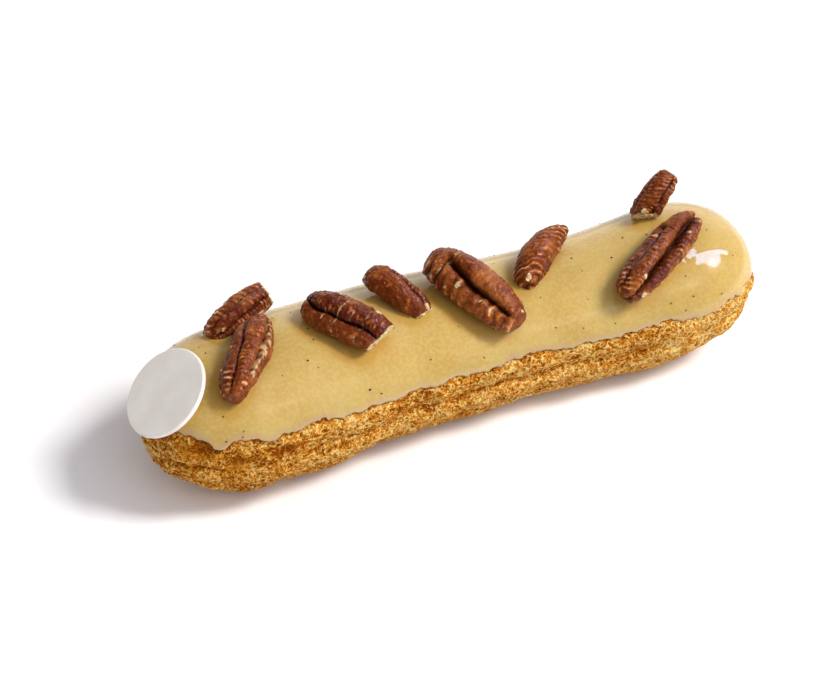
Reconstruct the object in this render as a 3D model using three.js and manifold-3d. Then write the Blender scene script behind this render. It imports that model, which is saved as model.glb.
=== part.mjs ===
// A glazed eclair: a piped choux body, a poured vanilla icing over its top, eight pecan pieces
// and a thin round of white chocolate leaning on its left end.
// Millimetres. +X runs along the eclair to its slimmer end, +Y to its far side, +Z up.
// The origin is the middle of the flat underside that it rests on.

import * as THREE from 'three';
import { mergeVertices } from 'three/addons/utils/BufferGeometryUtils.js';
import Module from 'manifold-3d';

// ---- Driving dimensions ---------------------------------------------------------------------

const LENGTH = 148;
const END_HALF_WIDTH = 19; // before the slow taper and the slim middle
const TAPER_PER_MM = 0.004; // the half width lost for each mm towards +X
const WAIST = { depth: 1.6, at: 19, reach: 38 }; // the slimmer stretch past the middle
const RIGHT_BULGE = { depth: 1.1, at: 66, reach: 17 }; // the right end swells a little again
const BEND = { rise: 2.2, rest: -0.2, at: -3, reach: 31 }; // the axis bows to the far side
const HEIGHT_TO_WIDTH = 0.82;
const ROUNDNESS = 2.35; // 2 is an ellipse, more is a squarer section
const LEFT_CAP = { length: 24.3, power: 2.17, tipRise: 0.17 };
const RIGHT_CAP = { length: 28, power: 2.58, tipRise: 0.27 };
const RIGHT_RAKE = { depth: 3.5, reach: 30 }; // the right end's underside is set back
const SOLE_SINK = 0.6; // how far the round section is pressed flat against the tray

const RIDGE = { first: 63, last: 133, pitch: 28, depth: 0.5 }; // piped ridges, in degrees from the top
const GROOVE_DRIFT = { angle: 7, from: 18, reach: 40 }; // the ridges sink towards the right end
const UNEVEN = 0.35; // the slow swell of the baked sides

const GLAZE = { lowest: 19.6, at: 25, climb: 4, over: 92, wave: 0.45 }; // the line it was dipped to
const ICING = { atEdge: 0.75, atTop: 1.7, fullAbove: 8 };
const FIT_GAP = 0.3;

const DISC = { radius: 10.55, thickness: 1.1, edgeRound: 0.35 };
const DISC_SEAT = new THREE.Vector3(-67.17, -1.21, 26.57); // where the round presses on the icing
const DISC_FACING = new THREE.Vector3(-0.587, -0.001, 0.809).normalize();
const SEAT_SOFTNESS = 1.2;

// One piece of pecan each: where it lies, how it is turned, its size and what is broken off.
// "lobes" says how many long swells the visible side shows.
const PECANS = [
  { x: -45.6, y: 11.8, heading: 22, pitch: -8, roll: 20, length: 19.6, width: 7.8, thickness: 7,
    lobes: 3, lift: 0.8, breaks: [{ facing: [1, -0.15, 0.2], at: 6.9 }] },
  { x: -49.3, y: -3.8, heading: 54, pitch: -9, roll: 10, length: 23.2, width: 9.4, thickness: 7,
    lobes: 2, lift: 0.2, breaks: [] },
  { x: -24.8, y: -1.8, heading: -54, pitch: 2, roll: 0, length: 24, width: 10.5, thickness: 7.5,
    lobes: 2, lift: 0.1, breaks: [{ facing: [1, -0.1, -0.35], at: 7.7 }] },
  { x: -11, y: 4.2, heading: -58, pitch: 12, roll: -4, length: 17.9, width: 7.7, thickness: 6,
    lobes: 1, lift: 0.1, breaks: [{ facing: [0.85, -0.3, 0.35], at: 5.6 }] },
  { x: 5.2, y: -1.3, heading: -64, pitch: 9, roll: 0, length: 27, width: 11.8, thickness: 8,
    lobes: 2, lift: 0.6, breaks: [] },
  { x: 25, y: 4.2, heading: 37, pitch: -6, roll: 8, length: 21, width: 7.6, thickness: 6.6,
    lobes: 1, lift: 0.2, breaks: [] },
  { x: 54.8, y: 8.8, heading: 18, pitch: -46, roll: 8, length: 14, width: 5.8, thickness: 5.4,
    lobes: 1, lift: 3, breaks: [{ facing: [-0.75, -0.6, 0.1], at: 4.4 }] },
  { x: 48.7, y: -7.2, heading: 31, pitch: -6, roll: 24, length: 29.8, width: 9.8, thickness: 7.6,
    lobes: 2, lift: 0.2, breaks: [] },
];

// How many steps each skin takes along X and around it.
const CHOUX_STEPS = { along: 40, around: 40 };
const ICING_STEPS = { along: 38, around: 28 };
const PECAN_STEPS = { along: 12, around: 20 };
const DISC_SEGMENTS = 36;

// ---- Small helpers --------------------------------------------------------------------------

const wasm = await Module();
wasm.setup();

const clamp01 = (value) => Math.min(1, Math.max(0, value));
const radians = (degrees) => (degrees * Math.PI) / 180;
const bell = (distance, reach) => Math.exp(-((distance / reach) ** 2));

function smoothstep(from, to, value) {
  const share = clamp01((value - from) / (to - from));
  return share * share * (3 - 2 * share);
}

// The root of a falling function between low and high.
function solve(low, high, value) {
  let left = low;
  let right = high;
  for (let step = 0; step < 40; step += 1) {
    const middle = (left + right) / 2;
    if (value(middle) > 0) {
      left = middle;
    } else {
      right = middle;
    }
  }
  return (left + right) / 2;
}

// A closed skin: a sphere with its poles on X, every point moved to place(along, turn). along runs
// from 0 at the left pole to 1 at the right one, turn from -1 to 1 around the axis, 0 on top.
function closedSkin(steps, place) {
  const geometry = new THREE.SphereGeometry(1, steps.around, steps.along);
  const position = geometry.attributes.position;
  for (let index = 0; index < position.count; index += 1) {
    const row = Math.floor(index / (steps.around + 1));
    const column = (index % (steps.around + 1)) % steps.around;
    const along = 1 - row / steps.along;
    const turn = 1 - (2 * column) / steps.around;
    const point = place(along, turn);
    position.setXYZ(index, point.x, point.y, point.z);
  }
  return welded(geometry);
}

function welded(geometry) {
  geometry.deleteAttribute('normal');
  geometry.deleteAttribute('uv');
  const closed = mergeVertices(geometry, 1e-4);
  closed.computeVertexNormals();
  return closed;
}

function toSolid(geometry) {
  return new wasm.Manifold(new wasm.Mesh({
    numProp: 3,
    vertProperties: new Float32Array(geometry.attributes.position.array),
    triVerts: new Uint32Array(geometry.index.array),
  }));
}

function toGeometry(solid) {
  const mesh = solid.getMesh();
  const geometry = new THREE.BufferGeometry();
  geometry.setAttribute('position', new THREE.BufferAttribute(mesh.vertProperties, 3));
  geometry.setIndex(new THREE.BufferAttribute(mesh.triVerts, 1));
  geometry.computeVertexNormals();
  return geometry;
}

// ---- The eclair's outer form ----------------------------------------------------------------

// Half sizes and middle of the cross section at x.
function section(x) {
  const waist = WAIST.depth * bell(x - WAIST.at, WAIST.reach);
  const bulge = RIGHT_BULGE.depth * bell(x - RIGHT_BULGE.at, RIGHT_BULGE.reach);
  const halfWidth = END_HALF_WIDTH - TAPER_PER_MM * x - waist + bulge;
  const halfHeight = halfWidth * HEIGHT_TO_WIDTH;
  const left = clamp01((LEFT_CAP.length - LENGTH / 2 - x) / LEFT_CAP.length);
  const right = clamp01((RIGHT_CAP.length - LENGTH / 2 + x) / RIGHT_CAP.length);
  const leftEnd = (1 - left ** LEFT_CAP.power) ** (1 / LEFT_CAP.power);
  const rightEnd = (1 - right ** RIGHT_CAP.power) ** (1 / RIGHT_CAP.power);
  const tipRise = LEFT_CAP.tipRise * (1 - leftEnd) + RIGHT_CAP.tipRise * (1 - rightEnd);
  return {
    y: BEND.rest + BEND.rise * bell(x - BEND.at, BEND.reach),
    z: halfHeight * (1 + tipRise),
    halfWidth: halfWidth * leftEnd * rightEnd,
    halfHeight: halfHeight * leftEnd * rightEnd,
    fullHalfHeight: halfHeight,
  };
}

// Pushes a point back behind the plane that the chocolate round presses on, with a soft bend.
function seated(point) {
  const proud = point.clone().sub(DISC_SEAT).dot(DISC_FACING);
  const soft = Math.max(0, proud + SEAT_SOFTNESS);
  const push = proud > SEAT_SOFTNESS ? proud : soft ** 2 / (4 * SEAT_SOFTNESS);
  return point.addScaledVector(DISC_FACING, -push);
}

// The outer skin at station x, at an angle from the top: below 0 is the near side.
function outerPoint(x, angle) {
  const cut = section(x);
  const across = Math.sin(angle);
  const up = Math.cos(angle);
  const reach = (Math.abs(across) ** ROUNDNESS + Math.abs(up) ** ROUNDNESS) ** (-1 / ROUNDNESS);
  const sink = up < 0 ? SOLE_SINK * (cut.halfHeight / cut.fullHalfHeight) : 0;
  const height = cut.z + (cut.halfHeight + sink) * reach * up;
  const low = clamp01((cut.fullHalfHeight - height) / cut.fullHalfHeight);
  const nearEnd = clamp01((x - LENGTH / 2 + RIGHT_RAKE.reach) / RIGHT_RAKE.reach);
  const setBack = RIGHT_RAKE.depth * low ** 1.5 * nearEnd ** 1.5;
  return seated(new THREE.Vector3(x - setBack, cut.y + cut.halfWidth * reach * across, height));
}

// The skin's outward direction there, from two short steps along it.
function outwardAt(x, angle) {
  const step = 0.01;
  if (Math.abs(x) > LENGTH / 2 - step) {
    return new THREE.Vector3(Math.sign(x), 0, 0);
  }
  const ahead = outerPoint(x + step, angle).sub(outerPoint(x - step, angle));
  const around = outerPoint(x, angle + step).sub(outerPoint(x, angle - step));
  return ahead.cross(around).normalize();
}

// The height of the outer skin over a point of the plan.
function topHeight(x, y) {
  const cut = section(x);
  const aside = clamp01(Math.abs(y - cut.y) / cut.halfWidth);
  return cut.z + cut.halfHeight * (1 - aside ** ROUNDNESS) ** (1 / ROUNDNESS);
}

// How far a point stands above the wavy line that the icing reaches down to.
function aboveGlazeLine(point) {
  const wave = Math.sin(point.x / 4.1 + point.y / 7) + 0.6 * Math.sin(point.x / 2.7 - point.y / 5);
  const line = GLAZE.lowest + GLAZE.climb * ((point.x - GLAZE.at) / GLAZE.over) ** 2;
  return point.z - line - GLAZE.wave * wave;
}

function icingThickness(point) {
  return ICING.atEdge + (ICING.atTop - ICING.atEdge) * smoothstep(0, ICING.fullAbove, aboveGlazeLine(point));
}

// ---- Choux ----------------------------------------------------------------------------------

// Section angle in degrees for a step around the skin at station x. One line of points follows the
// icing's edge, and the steps are finer below it, where each crest and groove has its own line.
function chouxAngle(x, turn) {
  const top = 0.3 * 180;
  const bottom = 0.8 * 180;
  const step = Math.abs(turn) * 180;
  const edge = THREE.MathUtils.radToDeg(Math.abs(glazeAngle(x, Math.sign(turn || 1))));
  const first = THREE.MathUtils.clamp(edge, RIDGE.first - 9, RIDGE.first + 6);
  if (step < top) {
    return (step / top) * first;
  }
  if (step < bottom) {
    return first + ((step - top) / (bottom - top)) * (RIDGE.last - first);
  }
  return RIDGE.last + ((step - bottom) / (180 - bottom)) * (180 - RIDGE.last);
}

// Rounded crests with sharp grooves between them, as a star nozzle leaves.
function ridgeHeight(degrees) {
  const side = smoothstep(RIDGE.first - 3, RIDGE.first + 9, degrees) * (1 - smoothstep(128, 152, degrees));
  const phase = (Math.PI * (degrees - RIDGE.first - RIDGE.pitch / 2)) / RIDGE.pitch;
  return 2 * RIDGE.depth * side * (Math.abs(Math.cos(phase)) - 1);
}

function chouxPoint(along, turn) {
  const x = (-LENGTH / 2) * Math.cos(Math.PI * along);
  const degrees = chouxAngle(x, turn);
  const side = smoothstep(60, 90, degrees) * (1 - smoothstep(130, 160, degrees));
  const drift = GROOVE_DRIFT.angle * side * smoothstep(GROOVE_DRIFT.from, GROOVE_DRIFT.from + GROOVE_DRIFT.reach, x);
  const angle = radians(degrees + drift) * Math.sign(turn || 1);
  const point = outerPoint(x, angle);
  const outward = outwardAt(x, angle);
  const iced = smoothstep(-2.6, -0.3, aboveGlazeLine(point));
  const inset = iced * (icingThickness(point) + FIT_GAP);
  const endFade = smoothstep(0, 0.12, along) * smoothstep(0, 0.12, 1 - along);
  const swell = UNEVEN * (Math.sin(x / 6.3 + 2 * turn) + 0.7 * Math.sin(x / 3.1 + 9 * turn)) * side;
  const relief = (ridgeHeight(degrees) + swell) * endFade * (1 - iced);
  point.addScaledVector(outward, relief - inset);
  point.z = Math.max(0, point.z);
  return point;
}

// ---- Icing ----------------------------------------------------------------------------------

// The station where the top of the skin comes down to the glaze line, on the side given by sign.
function icingEnd(sign) {
  return sign * solve(LENGTH / 4, LENGTH / 2, (distance) => aboveGlazeLine(outerPoint(sign * distance, 0)));
}

const ICING_LEFT = icingEnd(-1);
const ICING_RIGHT = icingEnd(1);

// The section angle of the icing's edge at station x, on the side given by sign.
function glazeAngle(x, sign) {
  return sign * solve(0, Math.PI * 0.6, (angle) => aboveGlazeLine(outerPoint(x, sign * angle)));
}

// The icing is one lens-like skin: turn above 0 is its outer face, below 0 its inner one, and
// both meet in a rounded lip along the glaze line.
function icingPoint(along, turn) {
  const share = (1 - Math.cos(Math.PI * along)) / 2;
  const x = ICING_LEFT + (ICING_RIGHT - ICING_LEFT) * share;
  const across = 2 * Math.abs(turn) - 1;
  const side = across < 0 ? -1 : 1;
  const atTip = share <= 0 || share >= 1;
  const angle = atTip ? 0 : glazeAngle(x, side) * Math.abs(across);
  const point = outerPoint(x, angle);
  const fullness = Math.sqrt((1 - across ** 8) * (1 - (2 * share - 1) ** 12));
  const thickness = icingThickness(point);
  const depth = turn > 0 ? thickness * (1 - fullness) : thickness;
  return point.addScaledVector(outwardAt(x, angle), -depth);
}

// ---- Pecans ---------------------------------------------------------------------------------

// How deep the nut's long furrows cut at an angle from its top, as a share of its radius.
function furrow(lobes, degrees) {
  if (lobes === 2) {
    return 0.42 * bell(degrees, 13) + 0.1 * (bell(degrees - 62, 10) + bell(degrees + 62, 10));
  }
  if (lobes === 3) {
    return 0.2 * (bell(degrees - 26, 10) + bell(degrees + 26, 10)) + 0.12 * bell(Math.abs(degrees) - 66, 9);
  }
  return 0.22 * bell(degrees + 40, 12) + 0.08 * bell(degrees - 44, 10);
}

// The whole nut piece about its own middle: long on X, its flat inner side down.
function pecanPoint(nut, along, turn) {
  const reach = -Math.cos(Math.PI * along);
  const girth = (1 - Math.abs(reach) ** 2.5) ** 0.55 * (1 - 0.1 * reach);
  const degrees = turn * 180;
  const across = Math.sin(radians(degrees));
  const up = Math.cos(radians(degrees));
  const open = 1 - reach ** 4;
  const radius = girth * (1 - furrow(nut.lobes, degrees) * open);
  const height = up > 0 ? 0.72 * nut.thickness : 0.28 * nut.thickness;
  const arch = -0.9 * reach ** 2;
  return new THREE.Vector3(
    (nut.length / 2) * reach,
    (nut.width / 2) * radius * across,
    height * radius * up + arch,
  );
}

// A block that takes away all that lies past a plane: facing is its direction, at its distance.
function breakBlock(facing, at) {
  const size = 60;
  const direction = new THREE.Vector3(...facing).normalize();
  const block = new THREE.BoxGeometry(size, size, size);
  block.translate(size / 2 + at, 0, 0);
  block.applyQuaternion(new THREE.Quaternion().setFromUnitVectors(new THREE.Vector3(1, 0, 0), direction));
  return toSolid(welded(block));
}

// The outer form grown by the fit gap, which every nut's underside is shaped to.
function icedForm() {
  return toSolid(closedSkin({ along: 56, around: 64 }, (along, turn) => {
    const x = (-LENGTH / 2) * Math.cos(Math.PI * along);
    const angle = Math.PI * turn;
    const clearance = FIT_GAP + 0.06; // the flat triangles of the skin lie just under the true curve
    return outerPoint(x, angle).addScaledVector(outwardAt(x, angle), clearance);
  }));
}

function pecanGeometry(nut, form) {
  let solid = toSolid(closedSkin(PECAN_STEPS, (along, turn) => pecanPoint(nut, along, turn)));
  for (const { facing, at } of nut.breaks) {
    solid = solid.subtract(breakBlock(facing, at));
  }
  const geometry = toGeometry(solid);
  const turned = new THREE.Euler(radians(nut.roll), radians(nut.pitch), radians(nut.heading), 'ZYX');
  const height = topHeight(nut.x, nut.y) + 0.28 * nut.thickness + nut.lift;
  const place = new THREE.Matrix4().makeRotationFromEuler(turned).setPosition(nut.x, nut.y, height);
  geometry.applyMatrix4(place);
  return toGeometry(toSolid(geometry).subtract(form));
}

// ---- Chocolate round ------------------------------------------------------------------------

function discGeometry() {
  const { radius, thickness, edgeRound } = DISC;
  const profile = [new THREE.Vector2(0, 0)];
  const corners = [[edgeRound, -90], [thickness - edgeRound, 0]];
  for (const [height, from] of corners) {
    for (const degrees of [from, from + 45, from + 90]) {
      const turn = radians(degrees);
      profile.push(new THREE.Vector2(
        radius - edgeRound + edgeRound * Math.cos(turn),
        height + edgeRound * Math.sin(turn),
      ));
    }
  }
  profile.push(new THREE.Vector2(0, thickness));
  return welded(new THREE.LatheGeometry(profile, DISC_SEGMENTS));
}

// ---- Materials ------------------------------------------------------------------------------

const bakedChoux = new THREE.MeshStandardMaterial({ color: 0xc58a3a, roughness: 0.75, metalness: 0 });
const vanillaIcing = new THREE.MeshStandardMaterial({ color: 0xdbb973, roughness: 0.18, metalness: 0 });
const pecanSkin = new THREE.MeshStandardMaterial({ color: 0x7a3b20, roughness: 0.5, metalness: 0 });
const whiteChocolate = new THREE.MeshStandardMaterial({ color: 0xe6e1da, roughness: 0.35, metalness: 0 });

// ---- Assembly -------------------------------------------------------------------------------

function named(name, geometry, material) {
  const mesh = new THREE.Mesh(geometry, material);
  mesh.name = name;
  return mesh;
}

const eclair = new THREE.Group();
eclair.add(named('choux_body', closedSkin(CHOUX_STEPS, chouxPoint), bakedChoux));
eclair.add(named('icing', closedSkin(ICING_STEPS, icingPoint), vanillaIcing));

const form = icedForm();
PECANS.forEach((nut, index) => {
  eclair.add(named(`pecan_${index + 1}`, pecanGeometry(nut, form), pecanSkin));
});

const disc = named('chocolate_disc', discGeometry(), whiteChocolate);
disc.position.copy(DISC_SEAT).addScaledVector(DISC_FACING, FIT_GAP);
disc.quaternion.setFromUnitVectors(new THREE.Vector3(0, 1, 0), DISC_FACING);
eclair.add(disc);

export default eclair;
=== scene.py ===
"""A glazed eclair with eight pecan pieces and a round of white chocolate, in a white studio.

Sizes in the classes are millimetres. Meshes are written in metres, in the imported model's own frame:
+X runs along the eclair to its slimmer end, +Y to its far side, +Z up from its flat underside.
"""

import itertools
import logging
import math
from dataclasses import dataclass, field
from enum import Enum

import bmesh
import bpy
import numpy as np
from mathutils import Matrix, Vector
from mathutils.kdtree import KDTree


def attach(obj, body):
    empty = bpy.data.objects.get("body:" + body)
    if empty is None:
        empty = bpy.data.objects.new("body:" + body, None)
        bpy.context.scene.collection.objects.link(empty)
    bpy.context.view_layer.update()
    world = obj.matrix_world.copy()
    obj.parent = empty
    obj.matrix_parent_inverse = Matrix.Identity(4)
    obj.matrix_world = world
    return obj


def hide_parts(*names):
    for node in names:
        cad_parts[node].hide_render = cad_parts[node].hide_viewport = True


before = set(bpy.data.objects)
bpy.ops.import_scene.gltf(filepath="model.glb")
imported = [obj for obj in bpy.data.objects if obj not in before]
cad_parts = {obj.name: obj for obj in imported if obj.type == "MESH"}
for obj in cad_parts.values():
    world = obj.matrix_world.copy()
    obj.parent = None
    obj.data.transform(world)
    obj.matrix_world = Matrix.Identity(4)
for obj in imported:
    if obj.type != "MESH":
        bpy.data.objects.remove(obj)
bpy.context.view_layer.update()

Array = np.ndarray
Pair = tuple[float, float]
Triple = tuple[float, float, float]
Knots = tuple[Pair, ...]
Faces = list[tuple[int, ...]]
Material, Object, Socket = bpy.types.Material, bpy.types.Object, bpy.types.NodeSocket
METRE = 0.001  # metres in a millimetre
SAME_POINT = 2e-7  # metres within which two points of a mesh become one
log = logging.getLogger("eclair")


# ---- Small helpers ---------------------------------------------------------------------------

def bell(distance: Array, reach: float) -> Array:
    """Fall smoothly from 1 at no distance to nothing a few reaches away."""
    return np.exp(-((distance / reach) ** 2))


def smoothstep(start: float, stop: float, value: Array) -> Array:
    """Rise smoothly from 0 at start to 1 at stop."""
    share = np.clip((value - start) / (stop - start), 0, 1)
    return share * share * (3 - 2 * share)


def plateau(rise: Pair, fall: Pair, value: Array) -> Array:
    """Rise smoothly from 0 to 1 over one span of values, and fall back to 0 over another."""
    return smoothstep(*rise, value) * (1 - smoothstep(*fall, value))


def unit(vectors: Array) -> Array:
    """Give vectors along the last axis a length of 1."""
    return vectors / np.maximum(np.linalg.norm(vectors, axis=-1, keepdims=True), 1e-12)


def through(knots: Knots, at: Array) -> Array:
    """Read a smooth line that runs through its knots.

    Args:
        knots: pairs of a place and the value there, in rising order.
        at: the places to read.

    Returns:
        The value at each place, held level past both ends.
    """
    place, value = np.array(knots, dtype=float).T
    slope = np.gradient(value, place)
    first = np.clip(np.searchsorted(place, at) - 1, 0, len(place) - 2)
    span = place[first + 1] - place[first]
    share = np.clip((at - place[first]) / span, 0, 1)
    ease = share * share * (3 - 2 * share)
    lean = slope[first] * share * (1 - share) ** 2 - slope[first + 1] * share**2 * (1 - share)
    return value[first] * (1 - ease) + value[first + 1] * ease + span * lean


def linear(colour: str) -> tuple[float, float, float, float]:
    """Turn an sRGB hex colour into the linear values that a shader takes.

    Args:
        colour: six hex digits after a hash sign.

    Returns:
        Red, green, blue and an alpha of 1.
    """
    parts = [int(colour[place:place + 2], 16) / 255 for place in (1, 3, 5)]
    return (*[v / 12.92 if v <= 0.04045 else ((v + 0.055) / 1.055) ** 2.4 for v in parts], 1.0)


class Grain:
    """A repeatable random field in space, the same for the same seed."""

    MASK = 0xFFFFFFFF
    AXES = (374761393, 668265263, 1103515245)  # large odd numbers, which part neighbouring cells
    SPREAD, STIR = 1274126177, 2246822519  # large odd numbers, which mix a number's bits

    def __init__(self, seed: int) -> None:
        """Keep the seed."""
        self.seed = seed

    def _random(self, cell: Array, channel: int) -> Array:
        """Give each cell a number.

        Args:
            cell: whole numbers, three in each row.
            channel: which of a cell's several numbers is wanted.

        Returns:
            From 0 to 1 for each cell.
        """
        mixed = sum(cell[..., axis] * factor for axis, factor in enumerate(self.AXES))
        mixed = (mixed + (self.seed * 31 + channel) * self.SPREAD) & self.MASK
        mixed = ((mixed ^ (mixed >> 13)) * self.SPREAD) & self.MASK
        mixed = ((mixed ^ (mixed >> 16)) * self.STIR) & self.MASK
        return ((mixed ^ (mixed >> 15)) & 0xFFFFFF) / 0x1000000

    def soft(self, points: Array, size: float | Array) -> Array:
        """Smooth swells.

        Args:
            points: where to read the field, one point in each row.
            size: width of a swell, one number or one for each axis.

        Returns:
            About -1 to 1 for each point.
        """
        scaled = points / size
        base = np.floor(scaled).astype(np.int64)
        offset = scaled - base
        fade = offset**3 * (offset * (offset * 6 - 15) + 10)
        total = np.zeros(points.shape[:-1])
        for corner in itertools.product((0, 1), repeat=3):
            away = offset - corner
            slope = sum((self._random(base + corner, axis) * 2 - 1) * away[..., axis]
                        for axis in range(3))
            total += slope * np.prod(np.where(np.array(corner) == 1, fade, 1 - fade), axis=-1)
        return 1.7 * total

    def cells(self, points: Array, size: float | Array) -> tuple[Array, Array, Array]:
        """Scattered seeds, one in each cell.

        Args:
            points: where to read the field, one point in each row.
            size: width of a cell, one number or one for each axis.

        Returns:
            Distances to the nearest and second nearest seed in cell widths, and the nearest
            seed's own random number.
        """
        scaled = points / size
        base = np.floor(scaled).astype(np.int64)
        offset = scaled - base
        near = np.full(points.shape[:-1], 9.0)
        second = near.copy()
        number = np.zeros(points.shape[:-1])
        for shift in itertools.product((-1, 0, 1), repeat=3):
            cell = base + shift
            seed_at = np.stack([self._random(cell, axis) for axis in range(3)], axis=-1)
            distance = np.linalg.norm(seed_at + shift - offset, axis=-1)
            closer = distance < near
            second = np.where(closer, near, np.minimum(second, distance))
            number = np.where(closer, self._random(cell, 3), number)
            near = np.where(closer, distance, near)
        return near, second, number

    def blisters(self, points: Array, size: float | Array, width: float = 0.8) -> Array:
        """Round domes from 0 to 1 with sharp creases between them."""
        near, _, number = self.cells(points, size)
        return np.sqrt(np.clip(1 - (near / width) ** 2, 0, 1)) * (0.55 + 0.45 * number)


def swells(points: Array, *layers: tuple[int, float, float]) -> Array:
    """Add layers of soft grain up, each with its own seed, height and width."""
    return sum(height * Grain(seed).soft(points, width) for seed, height, width in layers)


# ---- Meshes ----------------------------------------------------------------------------------

def tube_faces(rings: int, around: int) -> Faces:
    """Join rings of points, each closed on itself, with four-cornered faces.

    Args:
        rings: how many rings there are.
        around: how many points each has.

    Returns:
        The faces as point numbers.
    """
    faces = []
    for ring in range(rings - 1):
        start, stop = ring * around, (ring + 1) * around
        faces += [(start + n, start + (n + 1) % around, stop + (n + 1) % around, stop + n)
                  for n in range(around)]
    return faces


def capped_tube(grid: Array, ends: tuple[Array, Array],
                marks: dict[str, Array]) -> tuple[Array, Faces, dict[str, Array]]:
    """Close a tube of rings with one point at each end.

    Args:
        grid: the rings, shaped rings x around x 3.
        ends: the points before the first ring and after the last.
        marks: a value at each point of the rings, by name.

    Returns:
        The points, the two ends last, then the faces, and the marks with the ends' values added.
    """
    rings, around = grid.shape[:2]
    points = np.vstack([grid.reshape(-1, 3), *ends])
    faces = tube_faces(rings, around)
    head, tail, last = rings * around, rings * around + 1, (rings - 1) * around
    faces += [(head, (n + 1) % around, n) for n in range(around)]
    faces += [(tail, last + n, last + (n + 1) % around) for n in range(around)]
    closed = {name: np.concatenate([values.ravel(), [values[0].mean(), values[-1].mean()]])
              for name, values in marks.items()}
    return points, faces, closed


def grid_normals(grid: Array) -> Array:
    """Work out which way a tube of rings faces.

    Args:
        grid: the rings, shaped rings x around x 3.

    Returns:
        The outward direction at each point.
    """
    along = np.gradient(grid, axis=0)
    around = np.roll(grid, -1, axis=1) - np.roll(grid, 1, axis=1)
    normals = unit(np.cross(along, around))
    middle = grid.mean(axis=(0, 1))
    return normals * np.sign(np.sum(normals * (grid - middle)))


def add_object(name: str, data: bpy.types.ID) -> Object:
    """Make an object of a mesh, a light or a camera, and put it in the scene.

    Args:
        name: the object's name.
        data: what it shows.

    Returns:
        The new object.
    """
    made = bpy.data.objects.new(name, data)
    bpy.context.scene.collection.objects.link(made)
    return made


def build_piece(name: str, points: Array, faces: Faces, marks: dict[str, Array],
                material: Material, slot: str) -> Object:
    """Make one smooth piece that rides on the body.

    Args:
        name: the piece's name.
        points: its points in mm.
        faces: its faces as point numbers.
        marks: a value at each point for each mark that its material reads.
        material: its finish.
        slot: not used.

    Returns:
        The new piece.
    """
    mesh = bpy.data.meshes.new(name)
    mesh.from_pydata(points * METRE, [], faces)
    for mark, values in marks.items():
        layer = mesh.attributes.new(mark, "FLOAT", "POINT")
        layer.data.foreach_set("value", np.asarray(values, dtype=np.float32).ravel())
    shell = bmesh.new()
    shell.from_mesh(mesh)
    bmesh.ops.remove_doubles(shell, verts=shell.verts, dist=SAME_POINT)
    bmesh.ops.recalc_face_normals(shell, faces=shell.faces)
    if shell.calc_volume(signed=True) < 0:
        bmesh.ops.reverse_faces(shell, faces=shell.faces)
    shell.to_mesh(mesh)
    shell.free()
    mesh.shade_smooth()
    mesh.materials.append(material)
    piece = add_object(name, mesh)
    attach(piece, "root")
    log.info("%s: %d points, %d faces", name, len(mesh.vertices), len(mesh.polygons))
    return piece


# ---- Shader helpers --------------------------------------------------------------------------

MIX_FACTOR, MIX_A, MIX_B, MIX_RESULT = 0, 6, 7, 2  # places of the colour sockets on a Mix node


def add_node(tree: bpy.types.NodeTree, kind: str, inputs: dict,
             **settings: object) -> bpy.types.Node:
    """Add one node, with its settings and its links.

    Args:
        tree: the material's node tree.
        kind: the node's type.
        inputs: a value, or an output to link, for each input by name or number.
        settings: properties of the node itself.

    Returns:
        The new node.
    """
    made = tree.nodes.new(kind)
    for name, value in settings.items():
        setattr(made, name, value)
    for key, value in inputs.items():
        if isinstance(value, Socket):
            tree.links.new(value, made.inputs[key])
        else:
            made.inputs[key].default_value = value
    return made


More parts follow.
